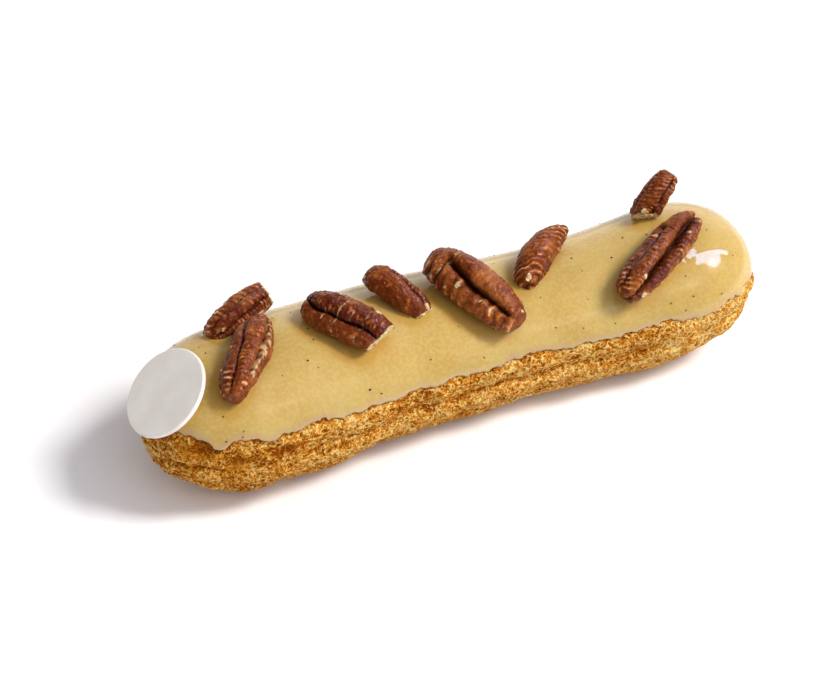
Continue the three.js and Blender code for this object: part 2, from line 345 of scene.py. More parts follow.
class Palette:
    """The node tree of one material, with the few steps that every finish is painted with."""

    def __init__(self, name: str) -> None:
        """Start an empty material."""
        self.material = bpy.data.materials.new(name)
        self.material.use_nodes = True
        self.tree = self.material.node_tree
        self.tree.nodes.clear()
        self.place = self.add("TexCoord", {}).outputs["Object"]

    def add(self, kind: str, inputs: dict, **settings: object) -> bpy.types.Node:
        """Add one shader node to this tree."""
        return add_node(self.tree, f"ShaderNode{kind}", inputs, **settings)

    def mark(self, name: str) -> Socket:
        """Read a mark that the mesh carries at each point."""
        return self.add("Attribute", {}, attribute_name=name).outputs["Fac"]

    def noise(self, size: float, detail: float = 3, stretch: Triple = (1, 1, 1), rough: float = 0.5,
              place: Socket | None = None) -> Socket:
        """Cloudy noise.

        Args:
            size: how wide its patches are, in mm.
            detail: how many finer layers lie in it.
            stretch: how much narrower the patches are along each axis.
            rough: how strong the finer layers are.
            place: where it is read, or none for the piece's own places.

        Returns:
            About 0 to 1.
        """
        mapped = self.add("Mapping", {"Vector": place or self.place, "Scale": stretch})
        return self.add("TexNoise", {
            "Vector": mapped.outputs[0], "Scale": 0.5 / (size * METRE), "Detail": detail,
            "Roughness": rough,
        }).outputs["Fac"]

    def warped(self, size: float, amount: float, shift: float = 0) -> Socket:
        """Draw places aside, so that a pattern read there loses its straight lines.

        Args:
            size: how wide the swings are, in mm.
            amount: how far they reach, in mm.
            shift: where the swings start, in metres, so that two patterns can differ.

        Returns:
            The places.
        """
        aside = self.add("Mapping", {"Vector": self.place, "Location": (shift, shift / 2, -shift)})
        cloud = self.add("TexNoise", {
            "Vector": aside.outputs[0], "Scale": 0.5 / (size * METRE), "Detail": 2.0,
        }).outputs["Color"]
        centred = self.add("VectorMath", {0: cloud, 1: (0.5, 0.5, 0.5)}, operation="SUBTRACT")
        reach = (2 * amount * METRE,) * 3
        return self.add("VectorMath", {0: centred.outputs[0], 1: reach, 2: aside.outputs[0]},
                        operation="MULTIPLY_ADD").outputs[0]

    def cell_walls(self, size: float, place: Socket) -> Socket:
        """Distance to the walls of cells that are size mm wide, in cell widths."""
        return self.add("TexVoronoi", {"Vector": place, "Scale": 1 / (size * METRE)},
                        feature="DISTANCE_TO_EDGE").outputs["Distance"]

    def worms(self, size: float, width: float, place: Socket) -> Socket:
        """Thin winding lines.

        Args:
            size: how far apart they lie, in mm.
            width: how wide they are, as a share of the noise's range.
            place: where they are read.

        Returns:
            1 on a line and 0 beside it.
        """
        level = self.noise(size, 2, rough=0.55, place=place)
        off = self.math("ABSOLUTE", self.math("SUBTRACT", level, 0.5), 0.0)
        return self.ramp(off, 0.0, width, 1, 0)

    def total(self, start: float, *parts: tuple[float, Socket]) -> Socket:
        """Add weighted values up.

        Args:
            start: what is added to them.
            parts: each value with its weight before it.

        Returns:
            The sum.
        """
        running: object = start
        for weight, value in parts:
            running = self.add("Math", {0: value, 1: weight, 2: running},
                               operation="MULTIPLY_ADD").outputs[0]
        return running

    def ramp(self, value: Socket, start: float, stop: float,
             low: float = 0, high: float = 1) -> Socket:
        """Stretch a value smoothly from one range to another."""
        return self.add("MapRange", {
            "Value": value, "From Min": start, "From Max": stop, "To Min": low, "To Max": high,
        }, interpolation_type="SMOOTHSTEP").outputs[0]

    def math(self, operation: str, first: object, second: object) -> Socket:
        """Work out one sum from two values."""
        return self.add("Math", {0: first, 1: second}, operation=operation).outputs[0]

    def blend(self, share: object, first: object, second: object) -> Socket:
        """Mix two colours; a hex colour is turned to linear."""
        low, high = (linear(tone) if isinstance(tone, str) else tone for tone in (first, second))
        return self.add("Mix", {MIX_FACTOR: share, MIX_A: low, MIX_B: high},
                        data_type="RGBA").outputs[MIX_RESULT]

    def coats(self, tone: Socket, *layers: tuple[Socket, float, float, float, str]) -> Socket:
        """Lay colours one over another, each where its own value rises.

        Args:
            tone: the colour underneath.
            layers: a coat's value, the two ends of the range it rises over, its cover, its colour.

        Returns:
            The colour on top.
        """
        for value, start, stop, cover, colour in layers:
            tone = self.blend(self.ramp(value, start, stop, 0, cover), tone, colour)
        return tone

    def relief(self, height: Socket, depth: float) -> Socket:
        """Turn a height from 0 to 1 into dents depth mm deep."""
        return self.add("Bump", {
            "Height": height, "Distance": depth * METRE, "Strength": 1.0,
        }).outputs[0]

    def finish(self, tone: Socket, glow: Triple = (0, 0, 0), glow_depth: float = 0,
               **inputs: object) -> Material:
        """Join the surface shader to the output.

        Args:
            tone: the surface's colour.
            glow: how far red, green and blue light sink in, as shares of the depth.
            glow_depth: that depth in mm, or 0 where no light sinks in.
            inputs: the shader's other inputs, with a low line for each space.

        Returns:
            The finished material.
        """
        named = {key.replace("_", " "): value for key, value in inputs.items()}
        if glow_depth:
            named |= {"Subsurface Radius": glow, "Subsurface Scale": glow_depth * METRE}
        shader = self.add("BsdfPrincipled", {"Base Color": tone, **named})
        self.add("OutputMaterial", {"Surface": shader.outputs[0]})
        return self.material


# ---- Finishes --------------------------------------------------------------------------------

@dataclass(frozen=True)
class BakedChoux:
    """Choux pastry baked dry: a dull sponge of thin pale walls, brown in its grooves.

    The sizes are millimetres across one part of the pattern.
    """

    crumb: str = "#e4c67c"
    golden: str = "#c57f1f"
    toasted: str = "#7b3a05"
    # The darkest colour is painted shade, in the crevice under the icing's rim and in small pits.
    painted_shade_colour: str = "#4d2506"
    roughness: float = 0.75
    cell: float = 0.95
    vein: float = 1.15
    speck: float = 0.3
    patch: float = 3.6
    pore: float = 0.62
    pore_stretch: Triple = (0.6, 1, 1.2)
    dents: float = 0.2
    glow: Triple = (1.0, 0.45, 0.12)
    glow_depth: float = 0.5

    def make(self) -> Material:
        """Paint the crust from its cell walls, its browning and its burst pores, with painted light
        on its raised parts and painted shade in its hollows.
        """
        paint = Palette("baked_choux")
        height, toast, crease = (paint.mark(name) for name in ("height", "toast", "crease"))
        place = paint.warped(1.5, 0.5)
        winding = paint.worms(self.vein, 0.06, place)
        walls = paint.ramp(paint.cell_walls(self.cell, place), 0.01, 0.12, 1, 0)
        speck = paint.noise(self.speck, 2, rough=0.7)
        patch = paint.noise(self.patch, 3)
        holes = paint.noise(self.pore, 2, self.pore_stretch, place=paint.warped(2.0, 0.4, 0.05))
        pores = paint.ramp(holes, 0.33, 0.42, 1, 0)
        # lit gathers the pale cell walls, winding lines and specks: partly the crust's own pale dried
        # flakes, partly painted highlight on the crests of its relief.
        lit = paint.total(0.0, (0.5, winding), (0.3, walls),
                          (2.1, paint.math("SUBTRACT", speck, 0.5)))
        open_crust = paint.ramp(toast, 0.15, 0.9, 1, 0.35)
        # Through height the blister tops are painted lighter and the hollows between them darker:
        # partly pale dried crests, partly painted light and shade. The burst pores are dents in the
        # bump and are painted darker as the shade inside them.
        level = paint.total(
            0.16, (1.0, paint.math("MULTIPLY", lit, open_crust)),
            (0.85, paint.math("SUBTRACT", patch, 0.5)), (0.26, height), (-0.28, toast),
            (-0.34, paint.math("MULTIPLY", pores, open_crust)),
        )
        tone = paint.blend(paint.ramp(level, 0.0, 0.45), self.toasted, self.golden)
        tone = paint.coats(tone, (level, 0.42, 1.0, 1, self.crumb))
        # Painted shade: the crevice under the icing's rim and small pits are darkened.
        tone = paint.blend(crease, tone, self.painted_shade_colour)
        relief = paint.total(0.3, (0.4, winding), (0.35, walls), (1.2, speck), (-0.6, pores))
        return paint.finish(
            tone, self.glow, self.glow_depth, Subsurface_Weight=0.08, Roughness=self.roughness,
            IOR=1.42, Specular_IOR_Level=0.05, Normal=paint.relief(relief, self.dents),
        )


@dataclass(frozen=True)
class PouredIcing:
    """Vanilla mirror icing, poured warm: it sets level and wet looking, and light sinks into it."""

    body: str = "#c6a968"
    deep: str = "#bf9f5a"
    fine: str = "#e0cb92"
    # The next colour is a painted shadow, laid on the icing just left of and in front of each pecan.
    painted_shadow: str = "#b98a35"
    rim: str = "#c19c7c"
    roughness: float = 0.05
    cloud: float = 6.5  # mm across a cloud
    fleck: float = 0.4  # mm across a fleck of the milk in it
    swell: float = 4  # mm across a swell of its surface
    glow: Triple = (1.0, 0.45, 0.1)
    glow_depth: float = 3.2

    def make(self) -> Material:
        """Paint the icing with slow clouds, a painted shadow beside each pecan, and a paler, pinker
        skin where it thins to its rim.
        """
        paint = Palette("poured_vanilla_icing")
        tone = paint.blend(paint.ramp(paint.noise(self.cloud, 3), 0.36, 0.66), self.body, self.deep)
        tone = paint.coats(tone, (paint.noise(self.fleck, 2), 0.42, 0.62, 0.16, self.fine))
        # Painted shadow: the icing beside each pecan is turned darker and more orange.
        tone = paint.blend(paint.mark("painted_shadow"), tone, self.painted_shadow)
        tone = paint.blend(paint.mark("thin"), tone, self.rim)
        return paint.finish(
            tone, self.glow, self.glow_depth, Subsurface_Weight=0.6, Roughness=self.roughness,
            IOR=1.45, Normal=paint.relief(paint.noise(self.swell, 2), 0.01),
        )


@dataclass(frozen=True)
class RoastedPecan:
    """Pecan kernels roasted in their skins: oily red-brown skin, and dull cream flesh in breaks."""

    skin: str = "#8b430f"
    ruddy: str = "#5c1d09"
    # worn paints random rubs and also the painted highlight on the fold crests; fleck paints the
    # skin's own pale specks and also the brightest painted highlight.
    worn_and_highlight: str = "#bd6f30"
    fleck: str = "#f2cda2"
    # The furrow colour is painted shade, deep in the furrows and in the valleys between folds.
    furrow: str = "#160603"
    flesh: str = "#e6d3a4"
    bruised: str = "#bd8f50"
    roughness: float = 0.45
    flesh_roughness: float = 0.75
    oil: float = 0.22
    oil_roughness: float = 0.14
    streak: float = 1.5  # mm across a darker streak of the skin
    grain: float = 0.24  # mm across its grain
    rub: float = 3.2  # mm across a rubbed place
    lump: float = 0.7  # mm across a small lump
    glow: Triple = (1.0, 0.4, 0.15)
    glow_depth: float = 0.4

    def make(self) -> Material:
        """Paint skin, painted shade in the furrows, scuffs and painted highlights on the fold crests,
        and broken flesh.
        """
        paint = Palette("roasted_pecan")
        flesh = paint.mark("flesh")
        grain = paint.noise(self.grain, 3, rough=0.65)
        # Painted highlight: the fold crests are painted lighter, up to cream, together with the
        # skin's own grain.
        grain_and_highlight = paint.total(0.0, (0.7, grain), (0.7, paint.mark("crest")))
        tone = paint.coats(
            paint.blend(paint.mark("ruddy"), self.skin, self.ruddy),
            (paint.noise(self.streak, 4, rough=0.6), 0.42, 0.68, 0.6, self.ruddy),
            (paint.noise(self.rub, 2), 0.5, 0.72, 0.55, self.worn_and_highlight),
            (grain, 0.47, 0.32, 0.5, self.ruddy), (grain_and_highlight, 0.43, 0.8, 0.85, self.worn_and_highlight),
            (grain_and_highlight, 0.7, 1.05, 0.75, self.fleck), (grain, 0.66, 0.74, 0.75, self.fleck),
        )
        # Painted shade: the furrows and the valleys between folds are darkened nearly to black.
        tone = paint.blend(paint.mark("groove"), tone, self.furrow)
        meat = paint.blend(paint.ramp(grain, 0.36, 0.56), self.bruised, self.flesh)
        tone = paint.blend(flesh, tone, meat)
        bumps = paint.total(0.0, (0.9, grain), (0.6, paint.noise(self.lump, 3)))
        return paint.finish(
            tone, self.glow, self.glow_depth, Subsurface_Weight=0.05, IOR=1.47,
            Roughness=paint.ramp(flesh, 0, 1, self.roughness, self.flesh_roughness),
            Specular_IOR_Level=0.12, Coat_Weight=self.oil, Coat_Roughness=self.oil_roughness,
            Coat_IOR=1.5, Normal=paint.relief(bumps, 0.18), Coat_Normal=paint.relief(bumps, 0.16),
        )


@dataclass(frozen=True)
class CastWhiteChocolate:
    """White chocolate cast thin and snapped from its mould: pale, smooth, with a soft sheen."""

    face: str = "#e9e3db"
    bloom: str = "#efeae4"
    roughness: float = 0.3
    cloud: float = 2.5  # mm across a faint cloud
    tooth: float = 0.7  # mm across the mould's unevenness
    glow: Triple = (1.0, 0.9, 0.75)
    glow_depth: float = 1.0

    def make(self) -> Material:
        """Paint a nearly even ivory with the faint clouds of a cast face."""
        paint = Palette("cast_white_chocolate")
        tone = paint.blend(paint.ramp(paint.noise(self.cloud, 3), 0.3, 0.7), self.face, self.bloom)
        return paint.finish(
            tone, self.glow, self.glow_depth, Subsurface_Weight=0.2, Roughness=self.roughness,
            IOR=1.46, Normal=paint.relief(paint.noise(self.tooth, 2), 0.01),
        )


@dataclass(frozen=True)
class VanillaSeed:
    """Ground vanilla pod: tiny, dull, nearly black grains."""

    seed: str = "#1d100b"
    pod: str = "#3c2214"
    roughness: float = 0.55
    crumb: float = 0.3  # mm across a crumb of pod

    def make(self) -> Material:
        """Paint the grains a very dark brown, with lighter crumbs of pod."""
        paint = Palette("vanilla_seed")
        tone = paint.blend(paint.ramp(paint.noise(self.crumb, 2), 0.4, 0.7), self.seed, self.pod)
        return paint.finish(tone, Roughness=self.roughness, IOR=1.45)


@dataclass(frozen=True)
class StudioPaper:
    """White background paper: matt and even."""

    shade: str = "#f7f6f7"
    white: str = "#faf9fa"
    roughness: float = 0.9
    tooth: float = 1.5  # mm across its tooth, drawn coarser than real paper's so that it shows

    def make(self) -> Material:
        """Paint the paper with a hardly visible tooth."""
        paint = Palette("studio_paper")
        tone = paint.blend(paint.noise(self.tooth, 2), self.shade, self.white)
        return paint.finish(tone, Roughness=self.roughness, IOR=1.3, Specular_IOR_Level=0.1)


# ---- The eclair's outer form -----------------------------------------------------------------

@dataclass(frozen=True)
class EclairForm:
    """The whole eclair's outer skin: a bowed tube that tapers slowly, with two rounded ends."""

    length: float = 148
    end_half_width: float = 19
    taper: float = 0.004
    waist: Triple = (1.6, 19, 38)  # how far it draws in, where, and over what length
    bulge: Triple = (1.1, 66, 17)  # the same for where it swells
    bend: Triple = (2.2, -3, 31)  # the same for its bow towards the far side
    bend_rest: float = -0.2
    height_to_width: float = 0.82
    roundness: float = 2.35
    left_cap: Triple = (24.3, 2.17, 0.17)  # how long the end is, how square, how far it lifts
    right_cap: Triple = (28, 2.58, 0.27)
    rake_depth: float = 3.5
    rake_reach: float = 30
    sole_sink: float = 0.6
    seat: Triple = (-67.17, -1.21, 26.57)  # the middle of the chocolate round's seat
    facing: Triple = (-0.587, -0.001, 0.809)  # the way that seat faces
    seat_softness: float = 1.2

    def section(self, x: Array) -> tuple[Array, Array, Array, Array, Array]:
        """Cross section at stations along the eclair.

        Args:
            x: the stations.

        Returns:
            Middle y and z, half width, half height, and the half height without the end's rounding.
        """
        half = self.length / 2
        width = self.end_half_width - self.taper * x
        width = width - self.waist[0] * bell(x - self.waist[1], self.waist[2])
        width = width + self.bulge[0] * bell(x - self.bulge[1], self.bulge[2])
        height = width * self.height_to_width
        ends, rise = 1.0, 0.0
        for (reach, power, tip), out in ((self.left_cap, -x), (self.right_cap, x)):
            share = np.clip((reach - half + out) / reach, 0, 1)
            end = (1 - share**power) ** (1 / power)
            ends = ends * end
            rise = rise + tip * (1 - end)
        y = self.bend_rest + self.bend[0] * bell(x - self.bend[1], self.bend[2])
        return y, height * (1 + rise), width * ends, height * ends, height

    def seated(self, points: Array) -> Array:
        """Press points back behind the plane that the chocolate round lies on.

        Args:
            points: the points, in mm.

        Returns:
            The points, none of them in front of the seat.
        """
        facing = unit(np.array(self.facing))
        proud = (points - np.array(self.seat)) @ facing
        soft = np.maximum(0, proud + self.seat_softness)
        push = np.where(proud > self.seat_softness, proud, soft**2 / (4 * self.seat_softness))
        return points - push[..., None] * facing

    def outer(self, x: Array, angle: Array) -> Array:
        """Points of the skin.

        Args:
            x: stations along the eclair.
            angle: angles from the top in radians, below 0 on the near side.

        Returns:
            One point for each pair.
        """
        y, z, width, height, full = self.section(x)
        across, up = np.sin(angle), np.cos(angle)
        power = self.roundness
        reach = (np.abs(across) ** power + np.abs(up) ** power) ** (-1 / power)
        sink = np.where(up < 0, self.sole_sink * height / full, 0)
        level = z + (height + sink) * reach * up
        low = np.clip((full - level) / full, 0, 1)
        near_end = np.clip((x - self.length / 2 + self.rake_reach) / self.rake_reach, 0, 1)
        back = self.rake_depth * low**1.5 * near_end**1.5
        aside = y + width * reach * across
        return self.seated(np.stack(np.broadcast_arrays(x - back, aside, level), axis=-1))

    def outward(self, x: Array, angle: Array) -> Array:
        """The skin's outward direction at the same pairs.

        Args:
            x: stations along the eclair.
            angle: angles from the top in radians.

        Returns:
            One direction for each pair.
        """
        step = 0.01
        ahead = self.outer(x + step, angle) - self.outer(x - step, angle)
        around = self.outer(x, angle + step) - self.outer(x, angle - step)
        return unit(np.cross(ahead, around))

    def top(self, x: Array, y: Array) -> Array:
        """Height of the skin's upper side over points of the plan.

        Args:
            x: stations along the eclair.
            y: places across it.

        Returns:
            Heights in mm.
        """
        middle, z, width, height, _ = self.section(x)
        aside = np.clip(np.abs(y - middle) / np.maximum(width, 1e-6), 0, 1)
        return z + height * (1 - aside**self.roundness) ** (1 / self.roundness)

    def lid(self, x: Array, y: Array) -> tuple[Array, Array]:
        """The upper side over points of the plan.

        Args:
            x: stations along the eclair.
            y: places across it.

        Returns:
            Points of the skin, and the outward direction at each.
        """
        step = 0.02
        ahead = self.over(x + step, y) - self.over(x - step, y)
        aside = self.over(x, y + step) - self.over(x, y - step)
        return self.over(x, y), unit(np.cross(ahead, aside))

    def over(self, x: Array, y: Array) -> Array:
        """Points of the upper side over points of the plan."""
        return self.seated(np.stack([x, y, self.top(x, y)], axis=-1))


@dataclass(frozen=True)
class GlazeLine:
    """The line that the icing reaches down to, ragged where the crust's blisters hold it up."""

    lowest: float = 19.6
    lowest_at: float = 25
    climb: float = 4  # how far it has risen at a distance of run from its lowest place
    run: float = 92
    wave: float = 0.42
    scallop: float = 1.2
    nick: float = 0.6
    drip: Triple = (-60.5, 2.6, 1.7)  # where, how wide and how far it runs down

    def above(self, points: Array) -> Array:
        """How far points stand above the icing's edge.

        Args:
            points: the points, in mm.

        Returns:
            Heights, below 0 on the bare crust.
        """
        x, y = points[..., 0], points[..., 1]
        plan = np.stack([x, y, np.zeros_like(x)], axis=-1)
        line = self.lowest + self.climb * ((x - self.lowest_at) / self.run) ** 2
        swing = np.sin(x / 4.1 + y / 7) + 0.6 * np.sin(x / 2.7 - y / 5)
        crumbly = 1 + 0.8 * smoothstep(58, 68, x)
        bumps = self.scallop * (Grain(11).blisters(plan, 3.6, 0.72) - 0.45)
        bumps = bumps + self.nick * crumbly * (Grain(12).blisters(plan, 1.2, 0.75) - 0.45)
        bumps = bumps + 0.35 * Grain(13).soft(plan, 6)
        drip = self.drip[2] * bell(x - self.drip[0], self.drip[1]) * (y < 0)
        return points[..., 2] - line - self.wave * swing - bumps + drip


# ---- Choux body ------------------------------------------------------------------------------

@dataclass(frozen=True)
class Tear:
    """A long crack that opened in the crust while it rose: angle, slant and width are degrees."""

    start: float
    stop: float
    angle: float
    slant: float
    depth: float
    width: float


@dataclass(frozen=True)
class Hollow:
    """A place where the crust sank in or stayed smooth while it baked."""

    centre: Triple
    size: Triple
    depth: float
    brown: float


@dataclass
class ChouxBody:
    """The baked shell: piped ridges around its sides, blistered all over, flat underneath."""

    form: EclairForm
    glaze: GlazeLine
    rows: int = 520
    near_columns: int = 104
    far_columns: int = 62
    hidden_columns: int = 6
    overlap: float = 7  # degrees that the fine part reaches up under the icing
    sole_from: float = 152  # degrees from the top
    ridge_first: float = 63  # degrees from the top
    ridge_pitch: float = 28  # degrees
    ridge_depth: float = 0.55
    drift: Triple = (7, 18, 40)  # how many degrees the ridges climb, from where, over what length
    uneven: float = 0.35
    blister: Triple = (2.6, 2.1, 2.0)  # along, across and up
    bubble: Triple = (1.25, 1.1, 1.05)  # the small ones between them
    crumb: float = 0.8
    blister_height: float = 0.62
    icing_room: float = 1.3
    tuck: float = 0.28  # how far the crust draws in where it meets the icing's rim
    browner: float = 0.3  # at the left end
    paler: float = 0.35  # at the right end
    tears: tuple[Tear, ...] = (
        Tear(-62, -44, 122, 3, 0.9, 2.4),
        Tear(-40, -14, 98, -4, 0.5, 2.2),
        Tear(-6, 22, 93, 5, 0.45, 2.4),
        Tear(30, 60, 103, -3, 0.5, 2.2),
        Tear(-20, 6, 121, 3, 0.45, 2),
    )
    hollows: tuple[Hollow, ...] = (
        Hollow((-64.6, -14.9, 21.4), (3.4, 3, 1.7), 0.9, 0.95),
        Hollow((-57.4, -17.8, 17.4), (2.6, 3, 1.6), 0.5, 0.8),
        Hollow((-46.5, -18.8, 18.4), (5.2, 3, 1.2), 0.35, 0.85),
        Hollow((-17.8, -15.9, 19.2), (0.8, 2, 1.2), 0.7, 0.6),
        Hollow((-33.0, -17.6, 13.0), (2.2, 3, 1.0), 0.3, 0.7),
        Hollow((36.0, -17.0, 12.0), (3.4, 3, 1.0), 0.3, 0.7),
    )

    def stations(self) -> Array:
        """Space the rings evenly along the outline, so the ends are as fine as the middle.

        Returns:
            The stations.
        """
        probes = np.linspace(0, math.pi, 6001)
        x = -self.form.length / 2 * np.cos(probes)
        width = self.form.section(x)[2]
        arc = np.concatenate([[0], np.cumsum(np.hypot(np.diff(x), np.diff(width)))])
        return np.interp(np.linspace(0, arc[-1], self.rows + 2)[1:-1], arc, x)

    def angles(self, x: Array) -> Array:
        """Section angles: fine on the bare sides, wide under the icing and on the sole.

        Args:
            x: the stations.

        Returns:
            Degrees from the top, below 0 on the near side, one row for each station.
        """
        probe = np.linspace(0, 110, 221)  # half a degree apart, down past the icing's edge
        halves = []
        for side, count in ((-1, self.near_columns), (1, self.far_columns)):
            height = self.glaze.above(self.form.outer(x[:, None], side * np.radians(probe)[None]))
            edge = probe[np.argmax(height < 0, axis=1)]
            first = np.clip(edge - self.overlap, 6, 60)[:, None]
            few, many = (np.linspace(0, 1, steps + 1)[None, 1:]
                         for steps in (self.hidden_columns, count))
            bare = first + (self.sole_from - first) * many
            under = self.sole_from + (180 - self.sole_from) * few
            under = np.broadcast_to(under, (len(x), self.hidden_columns))
            halves.append(side * np.hstack([first * few, bare, under]))
        near, far = halves
        return np.hstack([near[:, ::-1], np.zeros((len(x), 1)), far[:, :-1]])

    def build(self, material: Material) -> None:
        """Shape the crust and mark its heights, its browning, and the painted shade under the icing's
        rim and in small pits.

        Args:
            material: its finish.
        """
        stations = self.stations()
        degrees = self.angles(stations)
        x = np.broadcast_to(stations[:, None], degrees.shape)
        side = np.abs(degrees)
        climb, start, reach = self.drift
        shift = climb * plateau((60, 90), (130, 160), side) * smoothstep(start, start + reach, x)
        angle = np.radians(side + shift) * np.sign(degrees)
        skin = self.form.outer(x, angle)
        outward = self.form.outward(x, angle)
        above = self.glaze.above(skin)
        iced = smoothstep(-0.25, 0.5, above)
        bare = (1 - smoothstep(150, 168, side)) * (1 - smoothstep(1.5, 3, above))
        relief, height, groove = self.relief(skin, x, side)
        inset = iced * self.icing_room + self.tuck * smoothstep(-1.2, -0.1, above) * (1 - iced)
        points = skin + outward * (relief * bare * (1 - 0.6 * iced) - inset)[..., None]
        points[..., 2] = np.maximum(0, points[..., 2])
        # The band just under the icing's edge is painted browner and darker: painted shade of the
        # crevice under its lip.
        rim = plateau((-0.6, -0.12), (1.5, 2), above)
        sole = 1 - smoothstep(0.3, 2.2, points[..., 2])
        toast = 0.5 * groove + 0.6 * sole + 0.25 * rim + 0.24 * Grain(31).soft(skin, 11)
        toast = toast + self.browner * (1 - smoothstep(-62, -36, x))
        toast = toast - self.paler * smoothstep(0, 50, x)
        toast = toast + sum(spot.brown * self.near(spot, skin) for spot in self.hollows)
        crease = np.clip(0.12 * rim + self.pits(skin), 0, 0.6)
        marks = {"height": height, "toast": np.clip(toast, -0.5, 1), "crease": crease}
        tips = np.array([-1, 1]) * self.form.length / 2
        ends = self.form.outer(tips, np.zeros(2))
        shell = capped_tube(points, ends, marks)
        piece = build_piece("choux_crust", *shell, material, "choux")
        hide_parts("choux_body")

    def relief(self, skin: Array, x: Array, side: Array) -> tuple[Array, Array, Array]:
        """How far the crust stands out from the plain skin.

        Args:
            skin: points of the plain skin.
            x: their stations.
            side: their section angles from the top, in degrees.

        Returns:
            The relief in mm, the blisters' height from 0 to 1, and the grooves from 0 to 1.
        """
        wander = side + 4.5 * Grain(21).soft(skin, 15) + 1.8 * Grain(22).soft(skin, 5)
        phase = np.pi * (wander - self.ridge_first - self.ridge_pitch / 2) / self.ridge_pitch
        span = plateau((60, 74), (128, 152), side)
        strength = np.clip(0.85 + 0.5 * Grain(23).soft(skin, 20), 0.2, 1.4)
        ridge = 2 * self.ridge_depth * span * strength * (np.abs(np.cos(phase)) - 1)
        groove = span * np.clip(1 - 2.6 * np.abs(np.cos(phase)), 0, 1) * np.clip(strength, 0, 1)
        waves = np.sin(x / 6.3 + side / 90) + 0.7 * np.sin(x / 3.1 + side / 20)
        swell = self.uneven * waves * span
        lumps = swells(skin, (24, 0.42, 5.5), (25, 0.26, 2.6))
        warped = skin + 0.45 * np.stack([Grain(40 + n).soft(skin, 1.6) for n in range(3)], axis=-1)
        large = Grain(26).blisters(warped, np.array(self.blister), 0.85)
        near, second, number = Grain(27).cells(warped, np.array(self.bubble))
        walls = bell(second - near, 0.2)
        fine = np.abs(Grain(28).soft(warped, self.crumb))
        rough = 1 - 0.65 * groove
        texture = 0.34 * large + 0.36 * walls + 0.12 * number + 0.3 * fine
        relief = ridge + swell + lumps + rough * (self.blister_height * texture - 0.25)
        for tear in self.tears:
            relief = relief - self.tear(tear, skin, x, side)
        for spot in self.hollows:
            relief = relief - spot.depth * self.near(spot, skin)
        return relief, np.clip(texture * 1.3 - 0.1, 0, 1) * rough, groove

    def near(self, spot: Hollow, skin: Array) -> Array:
        """Fall from 1 in the middle of a hollow to nothing past its rim."""
        away = np.linalg.norm((skin - np.array(spot.centre)) / np.array(spot.size), axis=-1)
        return bell(away + 0.25 * Grain(32).soft(skin, 2), 1)

    def tear(self, tear: Tear, skin: Array, x: Array, side: Array) -> Array:
        """Depth of one crack, narrowing to nothing at both ends.

        Args:
            tear: the crack.
            skin: points of the plain skin.
            x: their stations.
            side: their section angles from the top, in degrees.

        Returns:
            Depths in mm.
        """
        share = np.clip((x - tear.start) / (tear.stop - tear.start), 0, 1)
        middle = tear.angle + tear.slant * (share - 0.5) * 2 + 2.5 * Grain(29).soft(skin, 4)
        opened = np.sqrt(np.maximum(0, 4 * share * (1 - share)))
        return tear.depth * opened * bell(side - middle, tear.width)

    def pits(self, skin: Array) -> Array:
        """Painted shade of small holes where blisters burst; the mesh has no holes there."""
        near, _, number = Grain(30).cells(skin, 1.9)
        return 0.3 * (1 - smoothstep(0.15, 0.35, near)) * (number > 0.5)


# ---- Icing -----------------------------------------------------------------------------------

